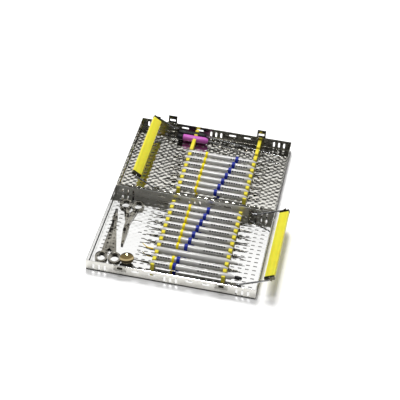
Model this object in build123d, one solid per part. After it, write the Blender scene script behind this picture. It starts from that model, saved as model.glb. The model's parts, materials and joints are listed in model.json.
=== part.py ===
from build123d import *
import math
import os

# Hinged instrument cassette, lying fully open. Millimetres. X runs along the hinge, Y from the front
# edge to the back, Z up. The origin is the centre of the base tray's underside.

ROUND_SIDES = 12
BORE_SIDES = 8
RING_OUTER_SIDES = 8

# ---- Trays: two equal folded sheet trays ----
TRAY_WIDTH = 279.4
TRAY_DEPTH = 203.2
TRAY_HEIGHT = 19.0
SHEET = 1.0
BEND = 2.5
HINGE_GAP = 4.0
RIM_GAP = 0.6
SLOT_LENGTH = 12.0
SLOT_WIDTH = 5.0
SLOT_PITCH_X = 24.2
SLOT_PITCH_Y = 23.0
SLOT_COLUMNS = 11
SLOT_ROWS = 8
ORIGIN_CLEAR = 12.0
PLAIN_STRIP_FROM_WALL = 36.7
PLAIN_STRIP_WIDTH = 28.0
PLAIN_STRIP_BACK = 60.0
WALL_SLOT_LENGTH = 14.0
WALL_SLOT_WIDTH = 3.0
WALL_SLOT_Z = 11.5
WALL_SLOT_X = (30.0, 55.0, 122.0)
SIDE_SLOTS = 2
SIDE_SLOT_PITCH = 36.0

# ---- Instrument rows ----
BASE_ROWS = 10
LID_ROWS = 7
BASE_FIRST_ROW = 17.1
BASE_LAST_ROW = 31.3
LID_FIRST_ROW = 31.0
INSTRUMENT_Z = 10.0
GRIP_RADIUS = 4.75
GRIP_LEFT = -34.0
GRIP_LENGTH = 112.0
NOSE_LENGTH = 8.0
NOSE_RADIUS = 1.9
TIP_LENGTH = 24.0
TIP_RADIUS = 1.2
TIP_MIDDLE_RADIUS = 0.85
TIP_END_RADIUS = 0.4
TIP_THICKNESS = 1.6
TIP_SWING = 3.0
SHANK_SHARE = 0.55
RING_WALL = 1.1
RING_WIDTH = 4.6
RING_CLEARANCE = 0.05
YELLOW_RING_X = -5.0
BASE_BLUE_X = 27.4
BASE_BLUE_STEP = -3.0
LID_BLUE_X = 30.0
LID_BLUE_STEP = 3.4
THICK_RADIUS = 5.4
THICK_TAPER = 22.0
PROBE_LENGTH = 21.0
PROBE_SWING = 9.0
MIRROR_GRIP_LENGTH = 126.0
MIRROR_TIP_LENGTH = 12.0
MIRROR_TIP_RADIUS = 3.0
MIRROR_TIP_END = 2.2
MIRROR_RADIUS = 12.0
MIRROR_THICKNESS = 2.2
MIRROR_FROM_WALL = 60.7
MIRROR_Z = 9.5
MIRROR_TILT = -18.0

# ---- Combs and their channels ----
LEFT_COMB_X = -35.0
RIGHT_COMB_X = 82.0
COMB_WIDTH = 6.0
COMB_TOP = 14.0
COMB_END = 8.6
CHANNEL_SHEET = 0.8
CHANNEL_LIP = 3.0
GRIP_CLEARANCE = 0.15

# ---- Hinges ----
HINGE_FROM_WALL = 35.7
HINGE_LENGTH = 26.0
LEAF_SHEET = 0.8
LEAF_HEIGHT = 11.0
KNUCKLE_RADIUS = 1.7
PIN_RADIUS = 0.85
PIN_CLEARANCE = 0.05
PIN_HEAD = 0.6
PIN_HEAD_RADIUS = 1.4
KNUCKLE_CLEARANCE = 0.3
HINGE_CLEARANCE = 0.3

# ---- Hold-down bars ----
ROD_RADIUS = 1.5
ROD_BEND = 2.5
BEND_STEP = 30.0
BORE_CLEARANCE = 0.05
PIVOT_Z = 12.0
SLEEVE_WIDTH = 17.0
SLEEVE_THICKNESS = 6.0
SLEEVE_ROUND = 1.2
SLEEVE_END = 0.4
CAP_LENGTH = 5.0
CAP_OVERHANG = 0.3
FOLDED_Z = 18.9
KINK_RUN = 9.0
KINK_RISE = 4.6
BASE_PIVOT_FROM_WALL = 39.7
BASE_SLEEVE_OUT = 17.0
BASE_SLEEVE_Z = 31.8
ARM_FROM_WALL = 6.6
ARM_FAR_SPACE = 14.8
LID_PIVOT_FROM_WALL = 69.7
LID_SLEEVE_FROM_WALL = 30.2
LID_SLEEVE_Z = 30.0
EAR_SHEET = 1.2
EAR_WIDTH = 9.0
EAR_TOP = 4.0
FOOT_LENGTH = 7.0
STUB = 4.6
ARM_CLEARANCE = 0.3

# ---- Latches and catches ----
LATCH_FROM_WALL = 56.7
LATCH_WIDTH = 16.0
LATCH_SHEET = 0.8
LATCH_TOP = 30.0
LATCH_LIP = 2.2
LATCH_PIVOT_Z = 12.0
LATCH_STAND = 3.4
LATCH_ROLL = 1.8
LATCH_PIN_RADIUS = 1.0
LATCH_BORE_CLEARANCE = 0.05
WINDOW_WIDTH = 10.4
WINDOW_LOW = 20.9
WINDOW_HIGH = 25.4
BRACKET_SHEET = 0.8
BRACKET_LOW = 5.0
BRACKET_HIGH = 16.5
SIDE_CLEARANCE = 0.3
CATCH_WIDTH = 21.0
CATCH_SHEET = 0.8
CATCH_LOW = 8.0
CATCH_HIGH = 18.6
NOSE_WIDTH = 8.6
NOSE_REACH = 4.5
NOSE_CLEARANCE = 0.3
NOSE_HEIGHT = 3.2
RIVET_RADIUS = 1.6
RIVET_HEAD = 0.5
RIVET_SPACING = 14.6
RIVET_Z = 14.6

# ---- Ring-handled instruments ----
FORGING = 4.0
HALF_GAP = 0.3
LAP_RADIUS = 4.6
LAP_CLEARANCE = 0.05
SCREW_RADIUS = 1.5
SCREW_HEAD_RADIUS = 2.4
SCREW_HEAD = 0.5
SHANK_WIDTH = 4.2
SHANK_BLEND = 10.0
RING_INNER_WIDTH = 15.0
RING_INNER_LENGTH = 20.0
RING_BAND = 3.2
RING_SIDES = 16
HOLDER_LENGTH = 138.0
HOLDER_JAW = 26.0
HOLDER_JAW_WIDTH = 3.6
HOLDER_FROM_WALL = 16.7
HOLDER_Y = 29.0
HOLDER_TURN = 7.0
SCISSORS_LENGTH = 118.0
SCISSORS_BLADE = 46.0
SCISSORS_BLADE_WIDTH = 4.6
SCISSORS_FROM_WALL = 40.2
SCISSORS_Y = 14.0
SCISSORS_TURN = 184.0

# ---- Two long tools at the lid's back wall ----
PINK_RADIUS = 5.2
PINK_Z = 9.3
PINK_FROM_WALL = 26.2
PINK_LEFT = -67.5
PINK_RIGHT = -11.0
PINK_CAP = 10.5
PINK_TAPER = 5.0
PINK_CAP_STEP = 0.4
PINK_END_RADIUS = 3.4
BLACK_RADIUS = 4.2
BLACK_Z = 9.3
BLACK_FROM_WALL = 12.9
BLACK_LEFT = -68.0
BLACK_RIGHT = -16.0
SHAFT_RADIUS = 1.4
SHAFT_END_RADIUS = 0.6
SHAFT_END_FROM_WALL = 13.0
PINK_SHAFT_DRIFT = 34.0
BLACK_SHAFT_DRIFT = 22.3

# ---- Places that follow from the sizes above ----
HALF_WIDTH = TRAY_WIDTH / 2
HALF_DEPTH = TRAY_DEPTH / 2
HINGE_Y = HALF_DEPTH + HINGE_GAP / 2
HINGE_Z = TRAY_HEIGHT + RIM_GAP / 2
LID_EDGE = HALF_DEPTH + HINGE_GAP
LID_CENTRE = LID_EDGE + HALF_DEPTH
BACK_WALL = LID_EDGE + TRAY_DEPTH
COMB_FLOOR = SHEET + CHANNEL_SHEET
GRIP_RIGHT = GRIP_LEFT + GRIP_LENGTH
ROW_PITCH = (TRAY_DEPTH - BASE_FIRST_ROW - BASE_LAST_ROW) / (BASE_ROWS - 1)
THICK_ROW = BASE_ROWS - 2
MIRROR_ROW = BASE_ROWS
MIRROR_X = MIRROR_FROM_WALL - HALF_WIDTH
HINGE_X = HALF_WIDTH - HINGE_FROM_WALL
LATCH_X = HALF_WIDTH - LATCH_FROM_WALL
BASE_PIVOT_X = HALF_WIDTH - BASE_PIVOT_FROM_WALL
BASE_SLEEVE_X = HALF_WIDTH + BASE_SLEEVE_OUT
LID_PIVOT_X = LID_PIVOT_FROM_WALL - HALF_WIDTH
LID_SLEEVE_X = LID_SLEEVE_FROM_WALL - HALF_WIDTH
ARM_SPAN = TRAY_DEPTH - ARM_FROM_WALL - ARM_FAR_SPACE
SLEEVE_LENGTH = ARM_SPAN - 2 * (CAP_LENGTH + ROD_BEND + SLEEVE_END)
HOLDER_X = HOLDER_FROM_WALL - HALF_WIDTH
SCISSORS_X = SCISSORS_FROM_WALL - HALF_WIDTH
PINK_Y = BACK_WALL - PINK_FROM_WALL
BLACK_Y = BACK_WALL - BLACK_FROM_WALL
SHAFT_END_X = HALF_WIDTH - SHAFT_END_FROM_WALL


def base_row(number):
    return HALF_DEPTH - BASE_FIRST_ROW - (number - 1) * ROW_PITCH


def lid_row(number):
    return LID_EDGE + LID_FIRST_ROW + (number - 1) * ROW_PITCH


def node(name, solids):
    # One file per sub-part, which may hold several separate solids.
    flat = []
    for item in solids:
        flat.extend(item.solids())
    export_step(Compound(children=flat), "parts/" + name + ".step")
    print(name, len(flat))


def block(x0, x1, y0, y1, z0, z1):
    size = Box(x1 - x0, y1 - y0, z1 - z0)
    return Pos((x0 + x1) / 2, (y0 + y1) / 2, (z0 + z1) / 2) * size


def facets(radius, sides, outside=False):
    # Small round sections are regular polygons: inside the circle, or outside it for a hole.
    return RegularPolygon(radius, sides, major_radius=not outside, rotation=180 / sides)


def across(x0, x1, y, z, radius, sides=ROUND_SIDES, outside=False):
    # A round piece along X.
    plane = Plane(origin=(x0, y, z), x_dir=(0, 1, 0), z_dir=(1, 0, 0))
    return extrude(plane * facets(radius, sides, outside), x1 - x0)


def through(x, y0, y1, z, radius, sides=ROUND_SIDES, outside=False):
    # A round piece along Y.
    plane = Plane(origin=(x, y0, z), x_dir=(1, 0, 0), z_dir=(0, 1, 0))
    return extrude(plane * facets(radius, sides, outside), y1 - y0)


def tapered(start, end, radius, end_radius, sides):
    # A straight taper with flat sides between two points.
    along = Vector(*end) - Vector(*start)
    plane = Plane(origin=start, x_dir=Vector(0, 0, 1).cross(along), z_dir=along)
    flat = math.cos(math.pi / sides)
    slope = math.degrees(math.atan2((radius - end_radius) * flat, along.length))
    return extrude(plane * facets(radius, sides), along.length, taper=slope)


# ---- Trays ----

def floor_slots(keep_clear):
    cuts = []
    for column in range(SLOT_COLUMNS):
        x = (column - (SLOT_COLUMNS - 1) / 2) * SLOT_PITCH_X
        for row in range(SLOT_ROWS):
            y = (row - (SLOT_ROWS - 1) / 2) * SLOT_PITCH_Y
            taken = False
            for x0, x1, y0, y1 in keep_clear:
                beyond_x = x + SLOT_LENGTH / 2 < x0 or x - SLOT_LENGTH / 2 > x1
                beyond_y = y + SLOT_WIDTH / 2 < y0 or y - SLOT_WIDTH / 2 > y1
                if not beyond_x and not beyond_y:
                    taken = True
            if not taken:
                cuts.append(Pos(x, y, SHEET / 2) * Box(SLOT_LENGTH, SLOT_WIDTH, 3 * SHEET))
    return cuts


def wall_slots():
    cuts = []
    for side in (-1, 1):
        for mirrored in (-1, 1):
            for x in WALL_SLOT_X:
                cut = Box(WALL_SLOT_LENGTH, 3 * SHEET, WALL_SLOT_WIDTH)
                cuts.append(Pos(mirrored * x, side * (HALF_DEPTH - SHEET / 2), WALL_SLOT_Z) * cut)
        for place in range(-SIDE_SLOTS, SIDE_SLOTS + 1):
            cut = Box(3 * SHEET, WALL_SLOT_LENGTH, WALL_SLOT_WIDTH)
            x = side * (HALF_WIDTH - SHEET / 2)
            cuts.append(Pos(x, place * SIDE_SLOT_PITCH, WALL_SLOT_Z) * cut)
    return cuts


def folded_tray(keep_clear):
    # The sheet is folded up on four sides with a bend along the floor, and its corners are welded.
    low = (Align.CENTER, Align.CENTER, Align.MIN)
    outer = Box(TRAY_WIDTH, TRAY_DEPTH, TRAY_HEIGHT, align=low)
    outer = fillet(outer.faces().sort_by(Axis.Z)[0].edges(), BEND)
    inner = Box(TRAY_WIDTH - 2 * SHEET, TRAY_DEPTH - 2 * SHEET, TRAY_HEIGHT, align=low)
    inner = fillet(inner.faces().sort_by(Axis.Z)[0].edges(), BEND - SHEET)
    tray = outer - Pos(0, 0, SHEET) * inner
    return tray - (floor_slots(keep_clear) + wall_slots())


# ---- Combs ----

def grip_notch(y, radius, depth_z):
    # A notch with a round seat, open at the top.
    top = COMB_TOP - depth_z
    seat = Pos(y, depth_z) * facets(radius, ROUND_SIDES, True)
    mouth = Pos(y, depth_z + (top + 1) / 2) * Rectangle(2 * radius, top + 1)
    return seat + mouth


def comb(x, y0, y1, notches):
    profile = Pos((y0 + y1) / 2, (COMB_FLOOR + COMB_TOP) / 2) * Rectangle(y1 - y0, COMB_TOP - COMB_FLOOR)
    for y, radius, depth_z in notches:
        profile -= grip_notch(y, radius, depth_z)
    plane = Plane(origin=(x - COMB_WIDTH / 2, 0, 0), x_dir=(0, 1, 0), z_dir=(1, 0, 0))
    return extrude(plane * profile, COMB_WIDTH)


def channel(x, y0, y1):
    # A folded steel channel, open at the top, that holds the comb's foot.
    outer = COMB_WIDTH + 2 * CHANNEL_SHEET
    body = block(x - outer / 2, x + outer / 2, y0, y1, SHEET, SHEET + CHANNEL_LIP)
    return body - block(x - COMB_WIDTH / 2, x + COMB_WIDTH / 2, y0 - 1, y1 + 1, COMB_FLOOR, TRAY_HEIGHT)


# ---- Instruments in the rows ----

def nosed(x0, x1, y, z, radius, nose_length, nose_radius, ends=(0, -1)):
    # A round grip along X with a long bevel down to the shank at the ends named.
    body = across(x0, x1, y, z, radius)
    inset = (radius - nose_radius) * math.cos(math.pi / ROUND_SIDES)
    for end in ends:
        face = body.faces().sort_by(Axis.X)[end]
        body = chamfer(face.edges(), length=inset, length2=nose_length, reference=face)
    return body


def handle(y, radius, length=GRIP_LENGTH):
    x0 = GRIP_LEFT - NOSE_LENGTH
    x1 = GRIP_LEFT + length + NOSE_LENGTH
    return nosed(x0, x1, y, INSTRUMENT_Z, radius, NOSE_LENGTH, NOSE_RADIUS)


def thick_grip(y):
    # A thicker grip: a nose on the left, and on the right a long plain taper to a blunt point.
    x0 = GRIP_LEFT - NOSE_LENGTH
    body = nosed(x0, GRIP_RIGHT, y, INSTRUMENT_Z, THICK_RADIUS, NOSE_LENGTH, NOSE_RADIUS, (0,))
    start = (GRIP_RIGHT, y, INSTRUMENT_Z)
    end = (GRIP_RIGHT + THICK_TAPER, y, INSTRUMENT_Z)
    return body + tapered(start, end, THICK_RADIUS, TIP_RADIUS, ROUND_SIDES)


def mirror_grip_tip(y):
    # The soft black foot on the right end of the mirror's grip.
    x0 = GRIP_LEFT + MIRROR_GRIP_LENGTH + NOSE_LENGTH
    x1 = x0 + MIRROR_TIP_LENGTH
    return nosed(x0, x1, y, INSTRUMENT_Z, MIRROR_TIP_RADIUS, MIRROR_TIP_LENGTH / 2, MIRROR_TIP_END, (-1,))


def tip(y, side, swing, reach):
    # A working end: a straight shank and a bent point. side is -1 on the left and 1 on the right.
    start_x = GRIP_LEFT - NOSE_LENGTH if side < 0 else GRIP_RIGHT + NOSE_LENGTH
    bend_x = start_x + side * reach * SHANK_SHARE
    end_x = start_x + side * reach
    outline = Polyline(
        (start_x, -TIP_RADIUS),
        (bend_x, -TIP_MIDDLE_RADIUS),
        (end_x, swing - TIP_END_RADIUS),
        (end_x, swing + TIP_END_RADIUS),
        (bend_x, TIP_MIDDLE_RADIUS),
        (start_x, TIP_RADIUS),
        close=True,
    )
    low = INSTRUMENT_Z - TIP_THICKNESS / 2
    return Pos(0, y, low) * extrude(make_face(outline), TIP_THICKNESS, dir=(0, 0, 1))


def marking_ring(x, y):
    fit = GRIP_RADIUS + RING_CLEARANCE
    outer = facets(fit + RING_WALL, RING_OUTER_SIDES, True)
    inner = facets(fit, BORE_SIDES, True)
    plane = Plane(origin=(x - RING_WIDTH / 2, y, INSTRUMENT_Z), x_dir=(0, 1, 0), z_dir=(1, 0, 0))
    return extrude(plane * (outer - inner), RING_WIDTH)


def mirror_parts(y):
    # A round mirror head on a thin neck that leaves the handle's nose.
    head = Pos(MIRROR_X, y, MIRROR_Z) * Rot(MIRROR_TILT, 0, 0) * Cylinder(MIRROR_RADIUS, MIRROR_THICKNESS)
    neck_start = (GRIP_LEFT - NOSE_LENGTH, y, INSTRUMENT_Z)
    neck_end = (MIRROR_X + MIRROR_RADIUS - 1.0, y, MIRROR_Z)
    neck = tapered(neck_start, neck_end, TIP_RADIUS, TIP_MIDDLE_RADIUS, BORE_SIDES)
    return head, neck - head


# ---- Hold-down bars ----

def bent_rod(points, radius, bend):
    # A rod along straight runs. Each bend is a few short chords of its arc.
    places = [Vector(*p) for p in points]
    path = [places[0]]
    for before, corner, after in zip(places, places[1:], places[2:]):
        into = (corner - before).normalized()
        out = (after - corner).normalized()
        turn = math.radians(into.get_angle(out))
        chords = max(1, round(math.degrees(turn) / BEND_STEP))
        inward = (out - into).normalized()
        centre = corner + inward * (bend / math.cos(turn / 2))
        axis = Axis(centre, into.cross(out))
        start = corner - into * (bend * math.tan(turn / 2))
        for chord in range(chords + 1):
            swept = Vertex(start).rotate(axis, math.degrees(turn) * chord / chords)
            path.append(Vector(swept))
    path.append(places[-1])
    section = Plane(origin=path[0], z_dir=path[1] - path[0]) * facets(radius, BORE_SIDES)
    return sweep(section, path=Polyline(*path), transition=Transition.RIGHT)


def bar_shape(pivot_x, sleeve_x, sleeve_z):
    # The arm's kink and the sleeve's tilt are set in the folded-in pose, then turned out to rest.
    out = 1 if sleeve_x > pivot_x else -1
    reach = math.hypot(sleeve_x - pivot_x, sleeve_z - PIVOT_Z)
    lift = math.asin((FOLDED_Z - PIVOT_Z) / reach)
    rise = math.atan2(sleeve_z - PIVOT_Z, abs(sleeve_x - pivot_x))
    swing = math.pi - lift - rise
    kink_x = -KINK_RUN * math.cos(swing) + KINK_RISE * math.sin(swing)
    kink_z = KINK_RUN * math.sin(swing) + KINK_RISE * math.cos(swing)
    kink = (pivot_x + out * kink_x, PIVOT_Z + kink_z)
    return out, kink, swing


def hold_down_bar(pivot_x, sleeve_x, sleeve_z, y_front, y_back):
    out, kink, swing = bar_shape(pivot_x, sleeve_x, sleeve_z)
    points = [
        (pivot_x, y_front - STUB, PIVOT_Z),
        (pivot_x, y_front, PIVOT_Z),
        (kink[0], y_front, kink[1]),
        (sleeve_x, y_front, sleeve_z),
        (sleeve_x, y_back, sleeve_z),
        (kink[0], y_back, kink[1]),
        (pivot_x, y_back, PIVOT_Z),
        (pivot_x, y_back + STUB, PIVOT_Z),
    ]
    wire = bent_rod(points, ROD_RADIUS, ROD_BEND)
    middle_y = (y_front + y_back) / 2
    tilt = out * (180 - math.degrees(swing))
    turn = Pos(sleeve_x, middle_y, sleeve_z) * Rot(0, -tilt, 0)
    hole = through(0, -TRAY_DEPTH / 2, TRAY_DEPTH / 2, 0, ROD_RADIUS + BORE_CLEARANCE, BORE_SIDES, True)
    sleeve = Box(SLEEVE_WIDTH, SLEEVE_LENGTH, SLEEVE_THICKNESS)
    sleeve = chamfer(sleeve.edges().filter_by(Axis.Y), SLEEVE_ROUND) - hole
    caps = []
    for side in (-1, 1):
        wide = SLEEVE_WIDTH + 2 * CAP_OVERHANG
        thick = SLEEVE_THICKNESS + 2 * CAP_OVERHANG
        cap = Box(wide, CAP_LENGTH, thick)
        cap = Pos(0, side * (SLEEVE_LENGTH + CAP_LENGTH) / 2, 0) * cap - hole
        caps.append(turn * cap)
    return wire, turn * sleeve, caps


def bar_bracket(pivot_x, arm_y, side):
    # An upright ear with the pivot bore, on a foot that is spot-welded to the floor.
    near = arm_y + side * (ROD_BEND + ARM_CLEARANCE)
    far = near + side * EAR_SHEET
    ear = block(pivot_x - EAR_WIDTH / 2, pivot_x + EAR_WIDTH / 2, min(near, far), max(near, far),
                SHEET, PIVOT_Z + EAR_TOP)
    foot_end = far - side * FOOT_LENGTH
    foot = block(pivot_x - EAR_WIDTH / 2, pivot_x + EAR_WIDTH / 2, min(far, foot_end),
                 max(far, foot_end), SHEET, SHEET + EAR_SHEET)
    reach = FOOT_LENGTH
    bore = through(pivot_x, arm_y - reach, arm_y + reach, PIVOT_Z, ROD_RADIUS + BORE_CLEARANCE, BORE_SIDES, True)
    return ear + foot - bore


# ---- Hinges ----

def hinge_leaf(x, wall_side, knuckles):
    # wall_side is -1 for the leaf on the base's wall and 1 for the leaf on the lid's wall.
    wall = HINGE_Y + wall_side * HINGE_GAP / 2
    face = wall - wall_side * LEAF_SHEET
    y0 = min(wall, face)
    y1 = max(wall, face)
    top = HINGE_Z - math.sqrt((KNUCKLE_RADIUS + KNUCKLE_CLEARANCE) ** 2 - (HINGE_GAP / 2 - LEAF_SHEET) ** 2)
    leaf = block(x - HINGE_LENGTH / 2, x + HINGE_LENGTH / 2, y0, y1, top - LEAF_HEIGHT, top)
    for x0, x1 in knuckles:
        tongue = block(x + x0, x + x1, y0, y1, top - 1, HINGE_Z)
        leaf += tongue
        leaf += across(x + x0, x + x1, HINGE_Y, HINGE_Z, KNUCKLE_RADIUS)
    reach = HINGE_LENGTH
    return leaf - across(x - reach, x + reach, HINGE_Y, HINGE_Z, PIN_RADIUS + PIN_CLEARANCE, BORE_SIDES, True)


def hinge_pin(x):
    length = HINGE_LENGTH + 2 * HINGE_CLEARANCE
    half = length / 2
    shank = across(x - half, x + half, HINGE_Y, HINGE_Z, PIN_RADIUS)
    shank += across(x - half - PIN_HEAD, x - half, HINGE_Y, HINGE_Z, PIN_HEAD_RADIUS, BORE_SIDES)
    shank += across(x + half, x + half + PIN_HEAD, HINGE_Y, HINGE_Z, PIN_HEAD_RADIUS, BORE_SIDES)
    return shank


# ---- Latches ----

def latch(x):
    # A rolled eye on the pin, a flat plate with the window, and an outward finger lip.
    pivot_y = BACK_WALL + LATCH_STAND
    inner = pivot_y - LATCH_ROLL
    outer = inner + LATCH_SHEET
    half = LATCH_WIDTH / 2
    plate = block(x - half, x + half, inner, outer, LATCH_PIVOT_Z, LATCH_TOP)
    eye = across(x - half, x + half, pivot_y, LATCH_PIVOT_Z, LATCH_ROLL)
    lip_profile = Polyline(
        (inner, LATCH_TOP - LATCH_SHEET),
        (inner + LATCH_LIP, LATCH_TOP + LATCH_LIP - LATCH_SHEET),
        (inner + LATCH_LIP - 0.6, LATCH_TOP + LATCH_LIP),
        (inner, LATCH_TOP + 0.3),
        close=True,
    )
    lip_plane = Plane(origin=(x - half, 0, 0), x_dir=(0, 1, 0), z_dir=(1, 0, 0))
    lip = extrude(lip_plane * make_face(lip_profile), LATCH_WIDTH)
    body = plate + eye + lip
    window = block(x - WINDOW_WIDTH / 2, x + WINDOW_WIDTH / 2, inner - 2, outer + 2, WINDOW_LOW, WINDOW_HIGH)
    fit = LATCH_PIN_RADIUS + LATCH_BORE_CLEARANCE
    bore = across(x - LATCH_WIDTH, x + LATCH_WIDTH, pivot_y, LATCH_PIVOT_Z, fit, BORE_SIDES, True)
    return body - window - bore


def latch_bracket(x):
    # A plate on the outside of the wall with two ears that carry the pin.
    gap = LATCH_WIDTH / 2 + SIDE_CLEARANCE
    outer = gap + BRACKET_SHEET
    reach = BACK_WALL + LATCH_STAND + LATCH_ROLL
    plate = block(x - outer, x + outer, BACK_WALL, BACK_WALL + BRACKET_SHEET, BRACKET_LOW, BRACKET_HIGH)
    for side in (-1, 1):
        x0 = x + side * gap
        x1 = x + side * outer
        ear = block(min(x0, x1), max(x0, x1), BACK_WALL, reach, BRACKET_LOW + 2.5, BRACKET_HIGH)
        plate += ear
    reach_x = 2 * LATCH_WIDTH
    pivot_y = BACK_WALL + LATCH_STAND
    return plate - across(x - reach_x, x + reach_x, pivot_y, LATCH_PIVOT_Z, LATCH_PIN_RADIUS)


def latch_pin(x):
    half = LATCH_WIDTH / 2 + SIDE_CLEARANCE + BRACKET_SHEET
    return across(x - half, x + half, BACK_WALL + LATCH_STAND, LATCH_PIVOT_Z, LATCH_PIN_RADIUS)


def catch(x):
    # Plate on the front wall with a pressed nose: a ramp above and a flat hook face below.
    wall = -HALF_DEPTH
    face = wall - CATCH_SHEET
    half = CATCH_WIDTH / 2
    closed_low = 2 * HINGE_Z - WINDOW_HIGH
    hook = closed_low + NOSE_CLEARANCE
    plate = block(x - half, x + half, face, wall, CATCH_LOW, CATCH_HIGH)
    nose_profile = Polyline(
        (wall, hook),
        (wall - NOSE_REACH + 0.6, hook),
        (wall - NOSE_REACH, hook + 0.6),
        (wall - NOSE_REACH, hook + 1.2),
        (wall - CATCH_SHEET, hook + NOSE_HEIGHT),
        (wall, hook + NOSE_HEIGHT),
        close=True,
    )
    plane = Plane(origin=(x - NOSE_WIDTH / 2, 0, 0), x_dir=(0, 1, 0), z_dir=(1, 0, 0))
    return plate + extrude(plane * make_face(nose_profile), NOSE_WIDTH)


def catch_rivets(x):
    rivets = []
    for side in (-1, 1):
        y = -HALF_DEPTH - CATCH_SHEET
        rivets.append(through(x + side * RIVET_SPACING / 2, y - RIVET_HEAD, y, RIVET_Z, RIVET_RADIUS))
    return rivets


# ---- Ring-handled instruments ----

def oval(half_width, half_length):
    sides = range(RING_SIDES)
    turns = [2 * math.pi * (side + 0.5) / RING_SIDES for side in sides]
    corners = [(half_width * math.cos(turn), half_length * math.sin(turn)) for turn in turns]
    return make_face(Polyline(*corners, close=True))


def forged_outline(length, jaw, jaw_width):
    # One half seen from above: the pivot at the origin, its jaw along +Y on the +X side and its
    # ring at -Y on the -X side.
    gap = HALF_GAP / 2
    ring_x = -(gap + RING_BAND + RING_INNER_WIDTH / 2)
    ring_y = -(length - jaw - RING_BAND - RING_INNER_LENGTH / 2)
    shank_end = ring_y + RING_INNER_LENGTH / 2 + RING_BAND / 2
    shank = Polyline(
        (-LAP_RADIUS, -1.5),
        (-gap - SHANK_WIDTH * 0.9, -LAP_RADIUS - 6),
        (ring_x - 1.6, shank_end),
        (ring_x + 2.4, shank_end - 1.0),
        (-gap, shank_end + SHANK_BLEND),
        (-gap, -LAP_RADIUS),
        (LAP_RADIUS * 0.6, 0),
        close=True,
    )
    blade = Polyline(
        (-1.0, 0),
        (gap, LAP_RADIUS),
        (gap, jaw),
        (gap + jaw_width * 0.35, jaw),
        (gap + jaw_width, LAP_RADIUS + 3),
        (LAP_RADIUS, 1.5),
        (2, -2),
        close=True,
    )
    outside = oval(RING_INNER_WIDTH / 2 + RING_BAND, RING_INNER_LENGTH / 2 + RING_BAND)
    inside = oval(RING_INNER_WIDTH / 2, RING_INNER_LENGTH / 2)
    ring = Pos(ring_x, ring_y) * (outside - inside)
    return make_face(shank) + make_face(blade) + facets(LAP_RADIUS, ROUND_SIDES) + ring


def forged_pair(length, jaw, jaw_width, place):
    outline = forged_outline(length, jaw, jaw_width)
    full = extrude(outline, FORGING)
    lap_reach = LAP_RADIUS + 2.2
    half_height = FORGING / 2
    lap_face = facets(lap_reach, ROUND_SIDES)
    upper = Pos(0, 0, half_height - LAP_CLEARANCE / 2) * extrude(lap_face, FORGING)
    lower = Pos(0, 0, half_height + LAP_CLEARANCE / 2 - FORGING) * extrude(lap_face, FORGING)
    bore_face = facets(SCREW_RADIUS + BORE_CLEARANCE, BORE_SIDES, True)
    bore = Pos(0, 0, -1) * extrude(bore_face, FORGING + 2)
    moving = full - upper - bore
    fixed = full.mirror(Plane.YZ) - lower - bore
    screw = extrude(facets(SCREW_RADIUS, ROUND_SIDES), FORGING)
    screw += Pos(0, 0, FORGING) * extrude(facets(SCREW_HEAD_RADIUS, ROUND_SIDES), SCREW_HEAD)
    return place * fixed, place * moving, place * screw


# ---- Long tools at the back wall ----

def shaft_y(start_x, start_y, drift, x):
    # Where a shaft is at x: it drifts towards the hinge on its way to its point.
    return start_y - drift * (x - start_x) / (SHAFT_END_X - start_x)


def pink_grip():
    left = PINK_LEFT + PINK_CAP
    return nosed(left, PINK_RIGHT, PINK_Y, PINK_Z, PINK_RADIUS, PINK_TAPER, PINK_END_RADIUS, (-1,))


def base_half():
    rows = range(1, BASE_ROWS + 1)
    y_front = base_row(BASE_ROWS) - COMB_END
    y_back = base_row(1) + COMB_END
    notches = []
    for row in rows:
        radius = THICK_RADIUS if row == THICK_ROW else GRIP_RADIUS
        notches.append((base_row(row), radius + GRIP_CLEARANCE, INSTRUMENT_Z))
    for name, x in (("left", LEFT_COMB_X), ("right", RIGHT_COMB_X)):
        node("base_comb_" + name, [comb(x, y_front, y_back, notches)])
        node("base_channel_" + name, [channel(x, y_front, y_back)])
    plain = [row for row in rows if row not in (THICK_ROW, MIRROR_ROW)]
    node("base_handles", [handle(base_row(row), GRIP_RADIUS) for row in plain])
    node("thick_handle", [thick_grip(base_row(THICK_ROW))])
    node("thick_probe", [tip(base_row(THICK_ROW), -1, PROBE_SWING, PROBE_LENGTH)])
    node("mirror_handle", [handle(base_row(MIRROR_ROW), GRIP_RADIUS, MIRROR_GRIP_LENGTH)])
    node("mirror_handle_tip", [mirror_grip_tip(base_row(MIRROR_ROW))])
    tips = [tip(base_row(row), 1, (row % 3 - 1) * TIP_SWING, TIP_LENGTH) for row in plain]
    tips += [tip(base_row(row), -1, (row % 2 * 2 - 1) * TIP_SWING, TIP_LENGTH) for row in plain]
    node("base_tips", tips)
    ringed = [row for row in rows if row != THICK_ROW]
    node("base_yellow_rings", [marking_ring(YELLOW_RING_X, base_row(row)) for row in ringed])
    blue = [marking_ring(BASE_BLUE_X + BASE_BLUE_STEP * (row - 1), base_row(row)) for row in ringed]
    node("base_blue_rings", blue)
    disc, neck = mirror_parts(base_row(MIRROR_ROW))
    node("mirror_head", [disc])
    node("mirror_neck", [neck])
    for name, x in (("left", -LATCH_X), ("right", LATCH_X)):
        node("catch_" + name, [catch(x)])
    node("catch_rivets", catch_rivets(-LATCH_X) + catch_rivets(LATCH_X))


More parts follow.
